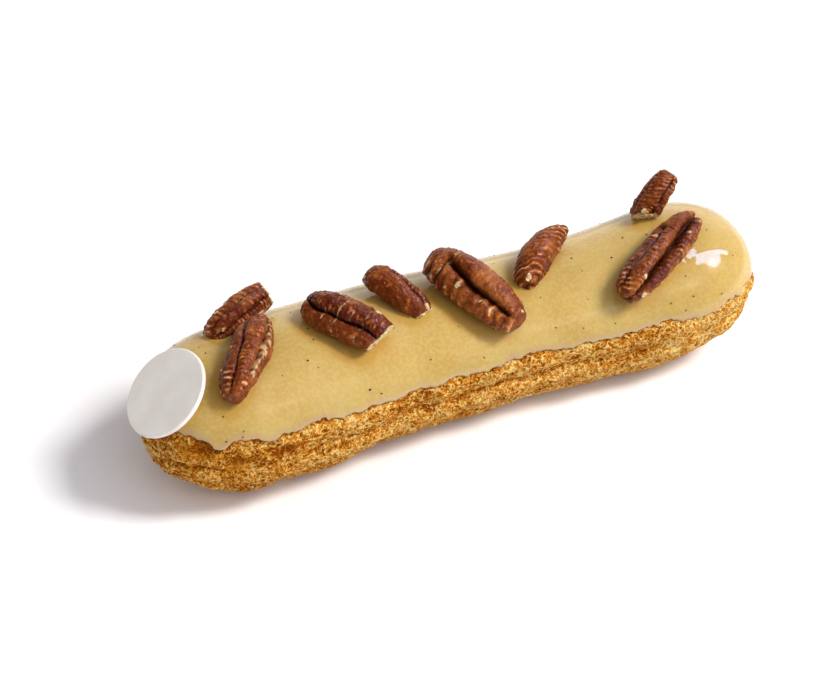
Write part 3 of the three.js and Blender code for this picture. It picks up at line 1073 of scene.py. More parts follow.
@dataclass
class Icing:
    """The poured icing: one lens over the top, thin at its ragged rim."""

    form: EclairForm
    glaze: GlazeLine
    step: float = 0.3
    spine: Pair = (-52, 50)  # where the rays start to fan out round the two ends
    fan_radius: float = 19
    widest: float = 26.0  # further from the spine than any edge
    halvings: int = 26
    across: int = 90
    at_edge: float = 0.62
    at_top: float = 1.7
    full_above: float = 8  # how high over its edge the icing has its whole thickness
    lip: float = 0.75
    band: float = 1.7  # how wide its thin pink margin is
    creep: float = 0.22  # how far it climbs whatever is stuck in it
    touching: float = 0.35
    lee: Triple = (1.8, 0.6, 0)  # how far a pecan's painted shadow lies to its left and its near side
    from_rim: tuple[float, ...] = (0, 0.04, 0.1, 0.18, 0.28, 0.4, 0.55, 0.72, 0.95, 1.25, 1.6, 2.0,
                                   2.5)

    def rays(self) -> tuple[Array, Array]:
        """Lay out the lines over the icing.

        Returns:
            Where each starts on the spine, and its direction in plan.
        """
        left, right = self.spine
        straight = np.linspace(left, right, int((right - left) / self.step))
        fan = np.linspace(0, math.pi, int(math.pi * self.fan_radius / self.step) + 2)[1:-1]
        starts, ways = [], []
        quarter = math.pi / 2
        for x, turn in ((straight, -quarter), (right, fan - quarter),
                        (straight[::-1], quarter), (left, fan + quarter)):
            count = max(np.size(x), np.size(turn))
            turn = np.broadcast_to(turn, count)
            starts.append(np.broadcast_to(x, count))
            ways.append(np.stack([np.cos(turn), np.sin(turn)], axis=-1))
        x = np.concatenate(starts)
        return np.stack([x, self.form.section(x)[0]], axis=-1), np.vstack(ways)

    def reach(self, start: Array, way: Array) -> Array:
        """Find the icing's edge by halving.

        Args:
            start: where each ray starts, in plan.
            way: its direction.

        Returns:
            How far along each ray the edge lies.
        """
        low, high = np.zeros(len(start)), np.full(len(start), self.widest)
        for _ in range(self.halvings):
            middle = (low + high) / 2
            spot = start + way * middle[:, None]
            inside = self.glaze.above(self.form.lid(spot[:, 0], spot[:, 1])[0]) > 0
            low, high = np.where(inside, middle, low), np.where(inside, high, middle)
        return low

    def build(self, material: Material, stuck: Array) -> None:
        """Lay the icing from its spine out to its rim, and back underneath.

        Args:
            material: its finish.
            stuck: points of the things that are stuck in it, each with its height over the icing.
        """
        pressed = stuck[stuck[:, 3] < self.touching, :3]
        # Each pecan's points, dropped onto the icing, mark where its painted shadow is laid.
        cover = stuck[::3, :3].copy()
        cover[:, 2] = self.form.top(cover[:, 0], cover[:, 1])
        skin, outward, left = self.lines()
        above = self.glaze.above(skin)
        full = smoothstep(0, self.full_above, above)
        thickness = self.at_edge + (self.at_top - self.at_edge) * full
        rounding = np.sqrt(np.clip(1 - (1 - np.clip(left / self.lip, 0, 1)) ** 2, 0, 1))
        swell = swells(skin, (51, 0.16, 17), (52, 0.05, 6))
        creep = self.creep * bell(np.maximum(0, self.away(skin, pressed) - 0.15), 0.5)
        surface = swell * smoothstep(0, 5, left) - thickness * (1 - rounding) + creep
        outer = skin + outward * surface[..., None]
        inner = skin - outward * thickness[..., None]
        grid = np.vstack([outer, inner[::-4][1:], inner[:1]])
        ragged = self.band * (1 + 0.45 * Grain(53).soft(skin, 7) + 0.3 * Grain(54).soft(skin, 2))
        thin = 0.85 * (1 - smoothstep(0.35, 1.25, left / ragged))
        thin = thin * (0.8 + 0.35 * Grain(55).soft(skin, 4))
        # Painted shadow: a darker, more orange tone within a short reach of each pecan's footprint,
        # moved to its left and near side.
        shadow_distance = np.maximum(0, self.away(skin + np.array(self.lee), cover))
        painted_shadow = 0.55 * bell(shadow_distance + 0.25 * Grain(56).soft(skin, 3), 1.2)
        below = np.zeros((len(grid) - len(outer), thin.shape[1]))
        marks = {name: np.clip(np.vstack([values, below]), 0, 1)
                 for name, values in {"thin": thin, "painted_shadow": painted_shadow}.items()}
        faces = tube_faces(len(grid), grid.shape[1])
        piece = build_piece("icing_coat", grid.reshape(-1, 3), faces, marks, material, "icing")
        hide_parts("icing")

    def lines(self) -> tuple[Array, Array, Array]:
        """Draw the lines from the spine to the rim.

        Returns:
            Points of the skin, the outward direction there, and how far the rim is from each.
        """
        start, way = self.rays()
        edge = self.reach(start, way)
        share = np.linspace(0, 1, self.across)[:, None]
        spot = start[None] + way[None] * (share * edge[None])[..., None]
        run = self.form.over(spot[..., 0], spot[..., 1])
        paces = np.linalg.norm(np.diff(run, axis=0), axis=-1)
        arc = np.vstack([np.zeros((1, len(edge))), np.cumsum(paces, axis=0)])
        wanted = [self.distances(total) for total in arc[-1]]
        shares = np.stack([np.interp(places, column, share[:, 0])
                           for column, places in zip(arc.T, wanted)], axis=1)
        spot = start[None] + way[None] * (shares * edge[None])[..., None]
        skin, outward = self.form.lid(spot[..., 0], spot[..., 1])
        return skin, outward, arc[-1] - np.stack(wanted, axis=1)

    def distances(self, total: float) -> Array:
        """Distances from the spine at which a line has its points, fine near the rim."""
        close = np.array(self.from_rim)
        rest = np.linspace(0, total - close[-1], 34)[:-1]
        return np.concatenate([rest, total - close[::-1]])

    def away(self, skin: Array, things: Array) -> Array:
        """Measure the way from the icing to the nearest thing.

        Args:
            skin: points of the icing.
            things: points of the things.

        Returns:
            The distance from each point of the icing.
        """
        tree = KDTree(len(things))
        for number, point in enumerate(things):
            tree.insert(Vector(point), number)
        tree.balance()
        flat = skin.reshape(-1, 3)
        return np.array([tree.find(Vector(point))[2] for point in flat]).reshape(skin.shape[:-1])


# ---- Pecans ----------------------------------------------------------------------------------

@dataclass(frozen=True)
class Furrow:
    """A furrow along a kernel.

    Its path is its angle from the top, one for all its length or one for each place from -1 to 1
    along the kernel. Its depth is a share of the radius, and its floor half its bed's width. Angles
    are degrees.
    """

    path: float | Knots
    depth: float = 0.1
    start: float = -1.0
    stop: float = 1.0
    floor: float = 0.0

    def angle(self, reach: Array) -> Array:
        """Its angle at places along the kernel, with a slight wander."""
        knots = self.path if isinstance(self.path, tuple) else ((0, self.path), (1.5, self.path))
        return through(knots, reach) + 2 * np.sin(reach * 9 + knots[0][1])

    def deep(self, reach: Array) -> Array:
        """Its depth at places along the kernel."""
        start, stop = self.start, self.stop
        return self.depth * plateau((start, start + 0.2), (stop - 0.2, stop), reach)


@dataclass(frozen=True)
class Lobe:
    """The swell between two furrows: its folds, its colour and any place where its skin is gone."""

    folds: float = 0.08
    pitch: float = 1.3
    slant: float = 0.3
    lumps: float = 0.06
    ruddy: float = 0.5
    rise: float = 0.0
    bare: Pair | None = None


@dataclass(frozen=True)
class Fold:
    """A crease across a kernel: its place along it, its two angles, its depth and width in mm."""

    at: float
    low: float
    high: float
    depth: float = 0.45
    width: float = 0.45


ALMOND = ((-1, 0), (-0.985, 0.3), (-0.93, 0.56), (-0.8, 0.78), (-0.5, 0.96), (-0.1, 1.0),
          (0.3, 0.97), (0.65, 0.82), (0.87, 0.6), (0.965, 0.36), (1, 0))


@dataclass
class Pecan:
    """One piece of a pecan half: lobes between furrows on top, flatter below, broken off in places.

    Each break is the way that its face looks and how far that face is from the kernel's middle.
    Each scratch is a place along the kernel in mm. Each fleck is its place from -1 to 1, its angle
    and its size in mm.
    """

    number: int
    place: Pair
    heading: float
    pitch: float
    roll: float
    length: float
    width: float
    thickness: float
    lift: float
    furrows: tuple[Furrow, ...]
    lobes: tuple[Lobe, ...]
    breaks: tuple[tuple[Triple, float], ...] = ()
    folds: tuple[Fold, ...] = ()
    scratches: tuple[float, ...] = ()
    flecks: tuple[Triple, ...] = ()
    girth: Knots = ALMOND
    near_side: Knots = ((-1, 1), (1, 1))
    curve: float = 0.0
    overhang: float = 3.0  # how high over the icing its points still count as near it
    upper: float = 0.72  # the share of its thickness above its widest line
    sunk: float = 0.3  # how deep it may reach under the icing's skin
    rows: int = 150
    columns: int = 184
    form: EclairForm = field(default_factory=EclairForm)

    def rotation(self) -> Array:
        """Roll the kernel, tip it and turn it to its heading.

        Returns:
            The matrix from its own axes to the eclair's.
        """
        turned = []
        for axis, angle in enumerate(np.radians([self.roll, self.pitch, self.heading])):
            one, two = (axis + 1) % 3, (axis + 2) % 3
            about = np.eye(3)
            about[one, one] = about[two, two] = math.cos(angle)
            about[one, two], about[two, one] = -math.sin(angle), math.sin(angle)
            turned.append(about)
        about_x, about_y, about_z = turned
        return about_z @ about_y @ about_x

    def between(self, reach: Array,
                degrees: Array) -> tuple[Array, list[tuple[Lobe, Array, Array]]]:
        """Find each lobe's own points.

        Args:
            reach: -1 to 1 along the kernel.
            degrees: angles from its top.

        Returns:
            The furrows' angles, and for each lobe a mask and the share of the way across it.
        """
        lines = np.stack([furrow.angle(reach) for furrow in self.furrows])
        found = []
        for number, lobe in enumerate(self.lobes):
            low, high = lines[number], lines[number + 1]
            share = np.clip((degrees - low) / (high - low), 0, 1)
            found.append((lobe, (degrees >= low) & (degrees < high), share))
        return lines, found

    def own(self, reach: Array, degrees: Array) -> tuple[Array, Array]:
        """The plain kernel about its own middle.

        Args:
            reach: -1 to 1 along the kernel.
            degrees: angles from its top.

        Returns:
            Points, and how deep in a furrow each lies, from 0 to 1, which the finish paints as shade.
        """
        lines, found = self.between(reach, degrees)
        deep = np.stack([furrow.deep(reach) for furrow in self.furrows])
        below, beyond = degrees < lines[0], degrees >= lines[-1]
        cut = np.where(below, deep[0] * bell(degrees - lines[0], 10), 0)
        cut = np.where(beyond, deep[-1] * bell(degrees - lines[-1], 10), cut)
        groove = np.zeros_like(cut)
        for number, (lobe, inside, share) in enumerate(found):
            dome = (1 - np.abs(2 * share - 1) ** 2.6) ** 0.45
            depth = deep[number] * (1 - share) + deep[number + 1] * share
            cut = np.where(inside, depth * (1 - dome) - lobe.rise * dome, cut)
            groove = np.where(inside, (1 - dome) ** 1.4 * np.minimum(1, depth * 3.2), groove)
        for furrow, line, depth in zip(self.furrows, lines, deep):
            if furrow.floor:
                opened = bell((degrees - line) / furrow.floor, 1) ** 0.7
                cut = np.maximum(cut, depth * opened)
                # The floor of an open furrow is marked for painted shade too.
                dark = 0.85 * opened * np.minimum(1, depth * 3.2)
                groove = np.maximum(groove, dark)
        radius = through(self.girth, reach) * (1 - np.clip(cut, -0.5, 0.75))
        across, up = np.sin(np.radians(degrees)), np.cos(np.radians(degrees))
        height = np.where(up > 0, self.upper, 1 - self.upper) * self.thickness
        side = np.where(across < 0, through(self.near_side, reach), 1.0)
        points = np.stack([self.length / 2 * reach,
                           self.width / 2 * radius * across * side + self.curve * (1 - reach**2),
                           height * radius * up - 0.9 * reach**2], axis=-1)
        return points, groove

    def build(self, material: Material) -> Array:
        """Shape the kernel, break it, and set it on the icing.

        Args:
            material: its finish.

        Returns:
            Its lower points, each with its height over the icing.
        """
        reach = -np.cos(np.linspace(0, math.pi, self.rows + 2)[1:-1])[:, None]
        degrees = np.linspace(-180, 180, self.columns, endpoint=False)[None]
        reach, degrees = np.broadcast_arrays(reach, degrees)
        plain, groove = self.own(reach, degrees)
        height, fold_shade, ruddy, bare, ridge = self.texture(plain, degrees, reach, groove)
        # The valleys between folds join the furrows' painted shade.
        groove = np.clip(np.maximum(groove, fold_shade), 0, 1)
        points, flesh = self.broken(plain + grid_normals(plain) * height[..., None])
        flesh = np.maximum(np.maximum(flesh, bare), self.scratched(plain, degrees))
        groove = groove * (1 - 0.75 * flesh)
        spots = self.flecked(plain, reach, degrees)
        outward = grid_normals(points)
        rough = swells(points, (70 + self.number, 0.24, 0.9), (80 + self.number, 0.16, 0.45))
        crumbs = rough * smoothstep(0.5, 0.9, flesh) + 0.12 * spots
        points = points + outward * crumbs[..., None]
        # The crest mark is painted lighter in the finish: random scuffs, and painted highlight along
        # the fold crests.
        scuffs = 0.35 * Grain(90 + self.number).soft(points, 1.2)
        crest = np.clip(0.1 + scuffs + ridge, 0, 1) * (1 - groove)
        flesh = np.maximum(flesh, spots)
        marks = {"flesh": flesh, "groove": groove, "crest": crest, "ruddy": ruddy}
        tips = (points[0].mean(axis=0), points[-1].mean(axis=0))
        closed, faces, marks = capped_tube(points, tips, marks)
        x, y = self.place
        under = float(self.form.top(x, y))
        centre = np.array([x, y, under + (1 - self.upper) * self.thickness + self.lift])
        world = closed @ self.rotation().T + centre
        floor = self.form.top(world[:, 0], world[:, 1]) - self.sunk
        world[:, 2] = np.maximum(world[:, 2], floor)
        name = f"pecan_kernel_{self.number}"
        piece = build_piece(name, world, faces, marks, material, "pecan")
        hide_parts(f"pecan_{self.number}")
        over = (world[:, 2] - floor)[:, None]
        return np.hstack([world, over])[over[:, 0] < self.overhang]

    def texture(self, plain: Array, degrees: Array, reach: Array,
                groove: Array) -> tuple[Array, ...]:
        """Folds, lumps and fine grain of the skin.

        Args:
            plain: points of the plain kernel.
            degrees: their angles from the top.
            reach: their places along the kernel.
            groove: how deep in a furrow they lie.

        Returns:
            Height in mm, and from 0 to 1 the painted shade in the folds' valleys, the redness, the
            bare flesh and the folds' crests, which the finish paints lighter as highlight.
        """
        grain = Grain(60 + self.number)
        calm = 1 - 0.7 * smoothstep(0.93, 1.0, np.abs(reach))
        upper = 1 - smoothstep(110, 140, np.abs(degrees))
        height = (0.16 * grain.soft(plain, 1.5) + 0.13 * grain.soft(plain + 9, 0.6)
                  + 0.24 * grain.soft(plain, 4))
        fold_shade, bare, ridge = np.zeros((3, *reach.shape))
        ruddy = np.full(reach.shape, 0.6)
        strength = np.clip(0.8 + 0.8 * grain.soft(plain + 50, 4), 0.15, 1.4) * upper
        for lobe, inside, share in self.between(reach, degrees)[1]:
            bent = plain[..., 0] + lobe.slant * plain[..., 1] + 0.55 * grain.soft(plain, 2.4)
            wave = np.abs(np.cos(np.pi * bent / lobe.pitch))
            flank = 0.55 + 0.45 * np.abs(2 * share - 1)
            rise = lobe.folds * (wave**0.6 - 0.75) * strength * flank
            rise = rise + lobe.lumps * (grain.blisters(plain, 2.1, 0.85) - 0.4)
            height = np.where(inside, height + rise * (1 - 0.6 * groove), height)
            clear = np.clip(3.6 * lobe.folds, 0, 0.9) * strength * flank
            # The valleys between folds are marked for painted shade.
            fold_shade = np.where(inside, (1 - wave) ** 3 * clear, fold_shade)
            thin = smoothstep(-0.45, 0.25, grain.soft(plain + 70, 2.2))
            # The folds' crests are marked for painted highlight.
            ridge = np.where(inside, wave**6 * clear * thin, ridge)
            ruddy = np.where(inside, lobe.ruddy, ruddy)
            if lobe.bare:
                ragged = reach + 0.1 * grain.soft(plain, 1.6) + 0.08 * grain.soft(plain, 0.7)
                start, stop = lobe.bare
                gone = plateau((start, start + 0.08), (stop - 0.08, stop), ragged)
                flaky = smoothstep(-0.2, 0.35, grain.soft(plain + 30, 1.1))
                torn = 0.6 * gone * flaky * smoothstep(0.1, 0.35, share)
                bare = np.where(inside, torn, bare)
        for fold in self.folds:
            middle = fold.at * self.length / 2
            away = (plain[..., 0] - middle - 0.3 * grain.soft(plain, 2)) / fold.width
            over = plateau((fold.low - 8, fold.low + 8), (fold.high - 8, fold.high + 8), degrees)
            height = height - fold.depth * bell(away, 1) * over
            # A fold's crease is marked for painted shade as well.
            fold_shade = np.maximum(fold_shade, 0.85 * bell(away * 1.5, 1) * over)
        ruddy = np.clip(ruddy + 0.2 * grain.soft(plain, 3), 0, 1)
        return height * calm, fold_shade, ruddy, bare, ridge

    def broken(self, points: Array) -> tuple[Array, Array]:
        """Draw whatever lies past a break back to its jagged face, and mark the bare flesh.

        Args:
            points: the kernel's points before it broke.

        Returns:
            The points, and how bare the flesh is at each, from 0 to 1.
        """
        flesh = np.zeros(points.shape[:-1])
        for facing, at in self.breaks:
            direction = unit(np.array(facing, dtype=float))
            past = points @ direction
            jag = swells(points, (65 + self.number, 0.3, 2.2), (66 + self.number, 0.18, 0.8))
            limit = at + jag
            scale = np.where(past > limit, limit / np.maximum(past, 1e-6), 1)
            flesh = np.maximum(flesh, smoothstep(-0.22, -0.05, past - limit))
            points = points * scale[..., None]
        return points, flesh

    def scratched(self, plain: Array, degrees: Array) -> Array:
        """Fine pale scratches straight across the kernel.

        Args:
            plain: points of the plain kernel.
            degrees: their angles from the top.

        Returns:
            How scratched each is, from 0 to 1.
        """
        marked = np.zeros(degrees.shape)
        for number, at in enumerate(self.scratches):
            wander = 0.25 * Grain(75 + number).soft(plain, 3)
            line = plain[..., 0] - at - wander - 0.12 * plain[..., 1]
            broken = smoothstep(-0.05, 0.25, Grain(77 + number).soft(plain, 2.2))
            marked = np.maximum(marked, 0.6 * bell(line, 0.1) * broken)
        return marked * (np.abs(degrees) < 100)

    def flecked(self, plain: Array, reach: Array, degrees: Array) -> Array:
        """Small scabs of cream flesh that cling to the skin.

        Args:
            plain: points of the plain kernel.
            reach: their places along the kernel.
            degrees: their angles from the top.

        Returns:
            How much of a scab covers each, from 0 to 1.
        """
        marked = np.zeros(reach.shape)
        for at, angle, size in self.flecks:
            along = (reach - at) * self.length / 2
            across = np.radians(degrees - angle) * self.width * 0.42
            away = np.hypot(along, across) / size + 0.5 * Grain(78).soft(plain, 0.7)
            marked = np.maximum(marked, 1 - smoothstep(0.55, 0.85, away))
        return marked


PECANS = (
    Pecan(1, (-45.6, 11.8), 22, -8, 20, 19.6, 7.8, 7.0, 0.8,
          (Furrow(-120), Furrow(-70, 0.22),
           Furrow(((-1, -40), (-0.25, -36), (0.3, -34), (1, -38)), 0.38),
           Furrow(((-1, 12), (-0.2, 19), (0.5, 19), (1, 15)), 0.26), Furrow(85)),
          (Lobe(0.05, lumps=0.2, ruddy=0.3, rise=-0.06, bare=(-0.2, 1.2)),
           Lobe(0.24, 0.85, 0.1, ruddy=0.85), Lobe(0.14, 1.2, ruddy=0.85),
           Lobe(0.3, 1.5, 0.5, 0.4, 0.3, -0.04)),
          breaks=(((1, -0.15, 0.2), 7.1),),
          flecks=((-0.55, 45, 0.5), (-0.2, 62, 0.45), (-0.72, -30, 0.5))),
    Pecan(2, (-49.3, -3.8), 54, -9, 10, 23.2, 9.6, 7, 0.2,
          (Furrow(-78),
           Furrow(((-1, -50), (-0.35, -44), (0, -40), (0.4, -41), (0.67, -46), (1, -50)),
                  0.6, -0.6),
           Furrow(((-1, 22), (-0.74, 24), (-0.3, 26), (0.16, 34), (0.56, 52), (1, 66)), 0.4),
           Furrow(112)),
          (Lobe(0.12, 1.0, 0.2, 0.5, 0.45, -0.14, (-0.5, 0.95)), Lobe(0.22, 1.1, 0.25, 0.06, 0.25),
           Lobe(0.22, 1.4, 0.4, 0.35, 0.45)),
          near_side=((-1, 0.5), (-0.6, 0.6), (-0.2, 0.8), (0.2, 0.95), (1, 0.9)),
          flecks=((0.0, 60, 0.4), (-0.5, 70, 0.4))),
    Pecan(3, (-24.8, -1.8), -54, 2, 0, 24, 10.5, 7.5, 0.1,
          (Furrow(-130),
           Furrow(((-1, -8), (-0.89, -16), (-0.7, -36), (-0.42, -42), (-0.08, -42), (0.22, -40),
                   (0.45, -40), (1, -56)), 0.46, -1.15, 1.1, 4), Furrow(78)),
          (Lobe(0.06, 1.4, ruddy=0.5), Lobe(0.14, 1.15, 0.15, ruddy=1.0)),
          breaks=(((1, -0.1, -0.5), 7.0),), scratches=(-4.8, -1.6, 1.4, 4.4),
          flecks=((-0.35, 28, 0.5), (0.45, 36, 0.9), (-0.15, -78, 0.4))),
    Pecan(4, (-11.0, 4.2), -58, 12, -4, 17.9, 7.7, 6.0, 0.1,
          (Furrow(-120),
           Furrow(((-1, 34), (-0.45, 30), (-0.12, 24), (0.16, 14), (0.45, 2), (1, -8)),
                  0.34, -0.55), Furrow(78)),
          (Lobe(0.05, 1.6, ruddy=0.5), Lobe(0.14, 1.2, ruddy=0.8, rise=-0.08)),
          breaks=(((1, -0.15, -0.5), 6.9),), flecks=((-0.92, -60, 0.6), (0.84, 4, 0.9))),
    Pecan(5, (5.2, -1.3), -64, 9, 0, 27, 11.8, 8, 0.6,
          (Furrow(-122),
           Furrow(((-1, 10), (-0.62, -2), (-0.3, -22), (0.02, -33), (0.26, -35), (0.54, -32),
                   (0.72, -30), (1, -26)), 0.6, -0.68, 0.9, 9), Furrow(96)),
          (Lobe(0.5, 2.4, 0.1, 0.45, 0.25), Lobe(0.12, 1.2, 0.2, 0.1, 0.45, 0.03)),
          folds=(Fold(-0.57, -110, 0, 0.6, 0.5),), scratches=(-7.5,),
          flecks=((-0.14, -52, 0.7), (-0.32, -72, 0.45), (0.32, -50, 0.4), (0.9, 25, 0.5))),
    Pecan(6, (25.0, 4.2), 37, -6, 8, 21, 7.6, 6.6, 0.2,
          (Furrow(-130), Furrow(((-1, -84), (-0.3, -76), (0.4, -72), (1, -78)), 0.26), Furrow(112)),
          (Lobe(0.2, 1.2, 0.2, 0.35, 0.6, -0.08), Lobe(0.5, 1.7, 0.95, 0.08, 0.3)),
          flecks=((-0.87, -18, 0.9),), curve=1.2,
          girth=((-1, 0), (-0.98, 0.32), (-0.9, 0.62), (-0.7, 0.86), (-0.3, 1.0), (0, 1.0),
                 (0.4, 0.86), (0.7, 0.6), (0.9, 0.33), (0.98, 0.14), (1, 0))),
    Pecan(7, (54.8, 8.8), 18, -46, 8, 14, 6.5, 5.4, 3.0,
          (Furrow(-140), Furrow(-58, 0.36), Furrow(34, 0.16), Furrow(84, 0.1)),
          (Lobe(0.2, 1.2, 0.3, 0.4, 0.85), Lobe(0.2, 1.0, 0.6, ruddy=0.35),
           Lobe(0.12, 1.2, 0.4, ruddy=0.5)),
          breaks=(((-0.75, -0.6, 0.1), 4.4),), flecks=((0.8, 50, 0.4), (-0.5, -20, 0.8)),
          girth=((-1, 0), (-0.97, 0.45), (-0.88, 0.78), (-0.6, 0.98), (-0.3, 1.0), (0, 1.0),
                 (0.4, 0.96), (0.75, 0.84), (0.93, 0.62), (0.985, 0.34), (1, 0))),
    Pecan(8, (48.7, -7.2), 31, -6, 24, 29.8, 9.8, 7.6, 0.2,
          (Furrow(-118), Furrow(-78, 0.14),
           Furrow(((-1, -54), (-0.8, -46), (-0.56, -27), (-0.27, -21), (0.05, -18), (0.29, -8),
                   (0.66, -2), (1, -4)), 0.62, -1.1, 1.3, 14),
           Furrow(((-1, 58), (-0.64, 50), (-0.43, 50), (-0.09, 45), (0.15, 50), (0.4, 68), (1, 82)),
                  0.34, -1, 0.45), Furrow(118)),
          (Lobe(0.1, 1.2, 0.2, 0.3, 0.5, -0.08, (-0.75, 0.8)), Lobe(0.2, 1.3, 0.2, 0.16, 0.75),
           Lobe(0.24, 1.15, 0.25, 0.08, 0.3), Lobe(0.26, 1.4, 0.3, 0.3, 0.65)),
          folds=(Fold(0.33, 8, 80, 0.6, 0.4),),
          near_side=((-1, 0.8), (-0.5, 0.92), (0.3, 0.95), (1, 1)),
          flecks=((-0.66, -12, 0.6), (0.86, -36, 0.6), (0.5, -26, 0.5), (-0.8, -70, 0.8))),
)


# ---- White chocolate round -------------------------------------------------------------------

@dataclass
class ChocolateRound:
    """A thin cast disc of white chocolate, leaning on the icing at the left end."""

    radius: float = 10.55
    thickness: float = 1.1
    edge_round: float = 0.35
    hub: float = 0.8  # the innermost ring's radius
    gap: float = 0.3  # between its back and the plane of its seat
    around: int = 144
    form: EclairForm = field(default_factory=EclairForm)

    def build(self, material: Material) -> Array:
        """Turn its rounded profile, dent the face a little, and lean it on its seat.

        Args:
            material: its finish.

        Returns:
            Points of its back, each with a height over the icing of 0.
        """
        rim, bend = self.radius - self.edge_round, self.edge_round
        profile = [(radius, 0.0) for radius in np.linspace(self.hub, rim, 12)]
        for height, start in ((bend, -90), (self.thickness - bend, 0)):
            profile += [(rim + bend * math.cos(turn), height + bend * math.sin(turn))
                        for turn in np.radians(np.linspace(start, start + 90, 6))]
        profile += [(radius, self.thickness) for radius in np.linspace(rim, self.hub, 26)[1:]]
        radius, height = np.array(profile).T[..., None]
        turn = np.linspace(0, 2 * math.pi, self.around, endpoint=False)
        ring = np.broadcast_arrays(radius * np.cos(turn), radius * np.sin(turn), height)
        grid = np.stack(ring, axis=-1)
        face = (height > self.thickness / 2) * (radius < rim)
        grid[..., 2] += face * 0.03 * Grain(101).soft(grid, 5)
        grid[..., :2] *= (1 + 0.003 * Grain(102).soft(grid, 6))[..., None]
        ends = (np.zeros(3), np.array([0, 0, self.thickness]))
        points, faces, marks = capped_tube(grid, ends, {})
        facing = unit(np.array(self.form.facing))
        side = unit(np.cross([0, 1, 0], facing))
        axes = np.stack([side, np.cross(facing, side), facing], axis=1)
        world = points @ axes.T + np.array(self.form.seat) + self.gap * facing
        piece = build_piece("white_chocolate_round", world, faces, marks, material,
                            "white_chocolate")
        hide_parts("chocolate_disc")
        under = world[points[:, 2] < bend]
        return np.hstack([under, np.zeros((len(under), 1))])


# ---- Specks ----------------------------------------------------------------------------------

# The specks that show: their places in plan, and how large each is on a scale to 1.
VANILLA_AT = (
    (20.2, -12.5, 1.0), (-25.6, -14.9, 1.0), (19.5, -5.6, 1.0), (-36.8, -6.7, 1.0),
    (39.4, -1.1, 0.95), (2.2, -13.6, 0.95), (47.7, -15.5, 1.0), (6.3, -9.4, 0.9),
    (44.5, 3.7, 0.85), (-6.0, -1.2, 0.9), (-23.2, -15.6, 0.9), (49.7, 1.8, 0.85),
    (-10.1, -12.2, 0.85), (53.2, -15.8, 0.85), (50.8, -17.1, 0.85), (-56.8, 3.5, 0.85),
    (31.1, 2.7, 0.75), (16.9, -2.4, 0.85), (63.0, -2.4, 0.6), (52.8, -12.1, 0.55),
    (-58.6, -12.9, 0.8), (-55.3, -16.3, 0.75), (-55.8, -16.9, 0.6), (-59.4, -16.4, 0.8),
    (-33.6, -1.6, 0.7), (41.0, -12.2, 0.5), (-1.3, -7.2, 0.45), (26.5, -14.0, 0.45),
    (-43.5, -8.6, 0.4), (-35.2, -8.9, 0.45), (66.1, -9.9, 0.5), (34.0, -15.0, 0.45),
    (9.0, -14.8, 0.5), (60.2, -16.4, 0.7), (29.5, -9.4, 0.4),
)


@dataclass
class Grains:
    """Many tiny irregular grains as one piece."""

    name: str
    slot: str
    seed: int

    def build(self, material: Material, centres: Array, sizes: Array) -> None:
        """Make one dented lump for each centre.

        Args:
            material: their finish.
            centres: their middles in mm.
            sizes: their widths in mm.
        """
        shell = bmesh.new()
        bmesh.ops.create_icosphere(shell, subdivisions=2, radius=0.5)
        ball = np.array([vertex.co[:] for vertex in shell.verts])
        corners = [tuple(vertex.index for vertex in face.verts) for face in shell.faces]
        shell.free()
        dice = np.random.default_rng(self.seed)
        points, faces = [], []
        for number, (centre, size) in enumerate(zip(centres, sizes)):
            stretch = size * dice.uniform(0.75, 1.2, 3)
            dent = 1 + 0.35 * Grain(self.seed + number).soft(ball + number, 0.5)
            points.append(ball * dent[:, None] * stretch + centre)
            faces += [tuple(number * len(ball) + corner for corner in face) for face in corners]
        build_piece(self.name, np.vstack(points), faces, {}, material, self.slot)


# ---- Studio ----------------------------------------------------------------------------------

class Seen(Enum):
    """What a light is for: it lights matt surfaces, or it is what glossy ones mirror."""

    LIT = "lit"
    MIRRORED = "mirrored"


@dataclass(frozen=True)
class Panel:
    """One flat soft light: its turn from +X, its rise, its distance and size, and its glow."""

    turn: float
    rise: float
    distance: float
    size: Pair
    radiance: float
    seen: Seen
    colour: str = "#fffdfa"
    target: Triple = (0, 0, 20)
    shift: Pair = (0, 0)
    twist: float = 0
    spread: float = 180

    def power(self) -> float:
        """Work out how strong it has to be for its glow.

        Returns:
            Its power in watts.
        """
        half = math.radians(self.spread) / 2
        narrowed = 1 - half / math.tan(half) if self.spread < 180 else 1
        return self.radiance * math.pi * self.size[0] * self.size[1] * METRE**2 * narrowed


WINDOW_AT = (61, -9, 29)  # the place on the icing that mirrors the window
DAYLIGHT = "#a5c8ff"


def pane(size: Pair, shift: Pair, twist: float = 0) -> Panel:
    """One part of the window's reflection on the icing, shifted in its plane, in mm and degrees."""
    return Panel(-5, 55, 300, size, 17, Seen.MIRRORED, DAYLIGHT, WINDOW_AT, shift, twist)


PANELS = {
    "key": Panel(-25, 49.5, 1800, (442, 570), 39.8, Seen.LIT),
    "fill": Panel(-70, 50, 2200, (1700, 1300), 1.44, Seen.LIT, "#fbfbff"),
    "window": Panel(-25, 49.5, 1800, (442, 570), 30, Seen.MIRRORED),
    "backdrop": Panel(66, 2, 2500, (4600, 4600), 2.3, Seen.MIRRORED, spread=84),
    "soft_patch": Panel(-67, 52, 300, (170, 170), 1.5, Seen.MIRRORED, target=(24, -12, 25),
                        spread=28),
    "transom": pane((40, 198), (40, -13)),
    "mullion": pane((56, 132), (-6, 22)),
    "mullion_foot": pane((66, 70), (-44, -2), -38),
}


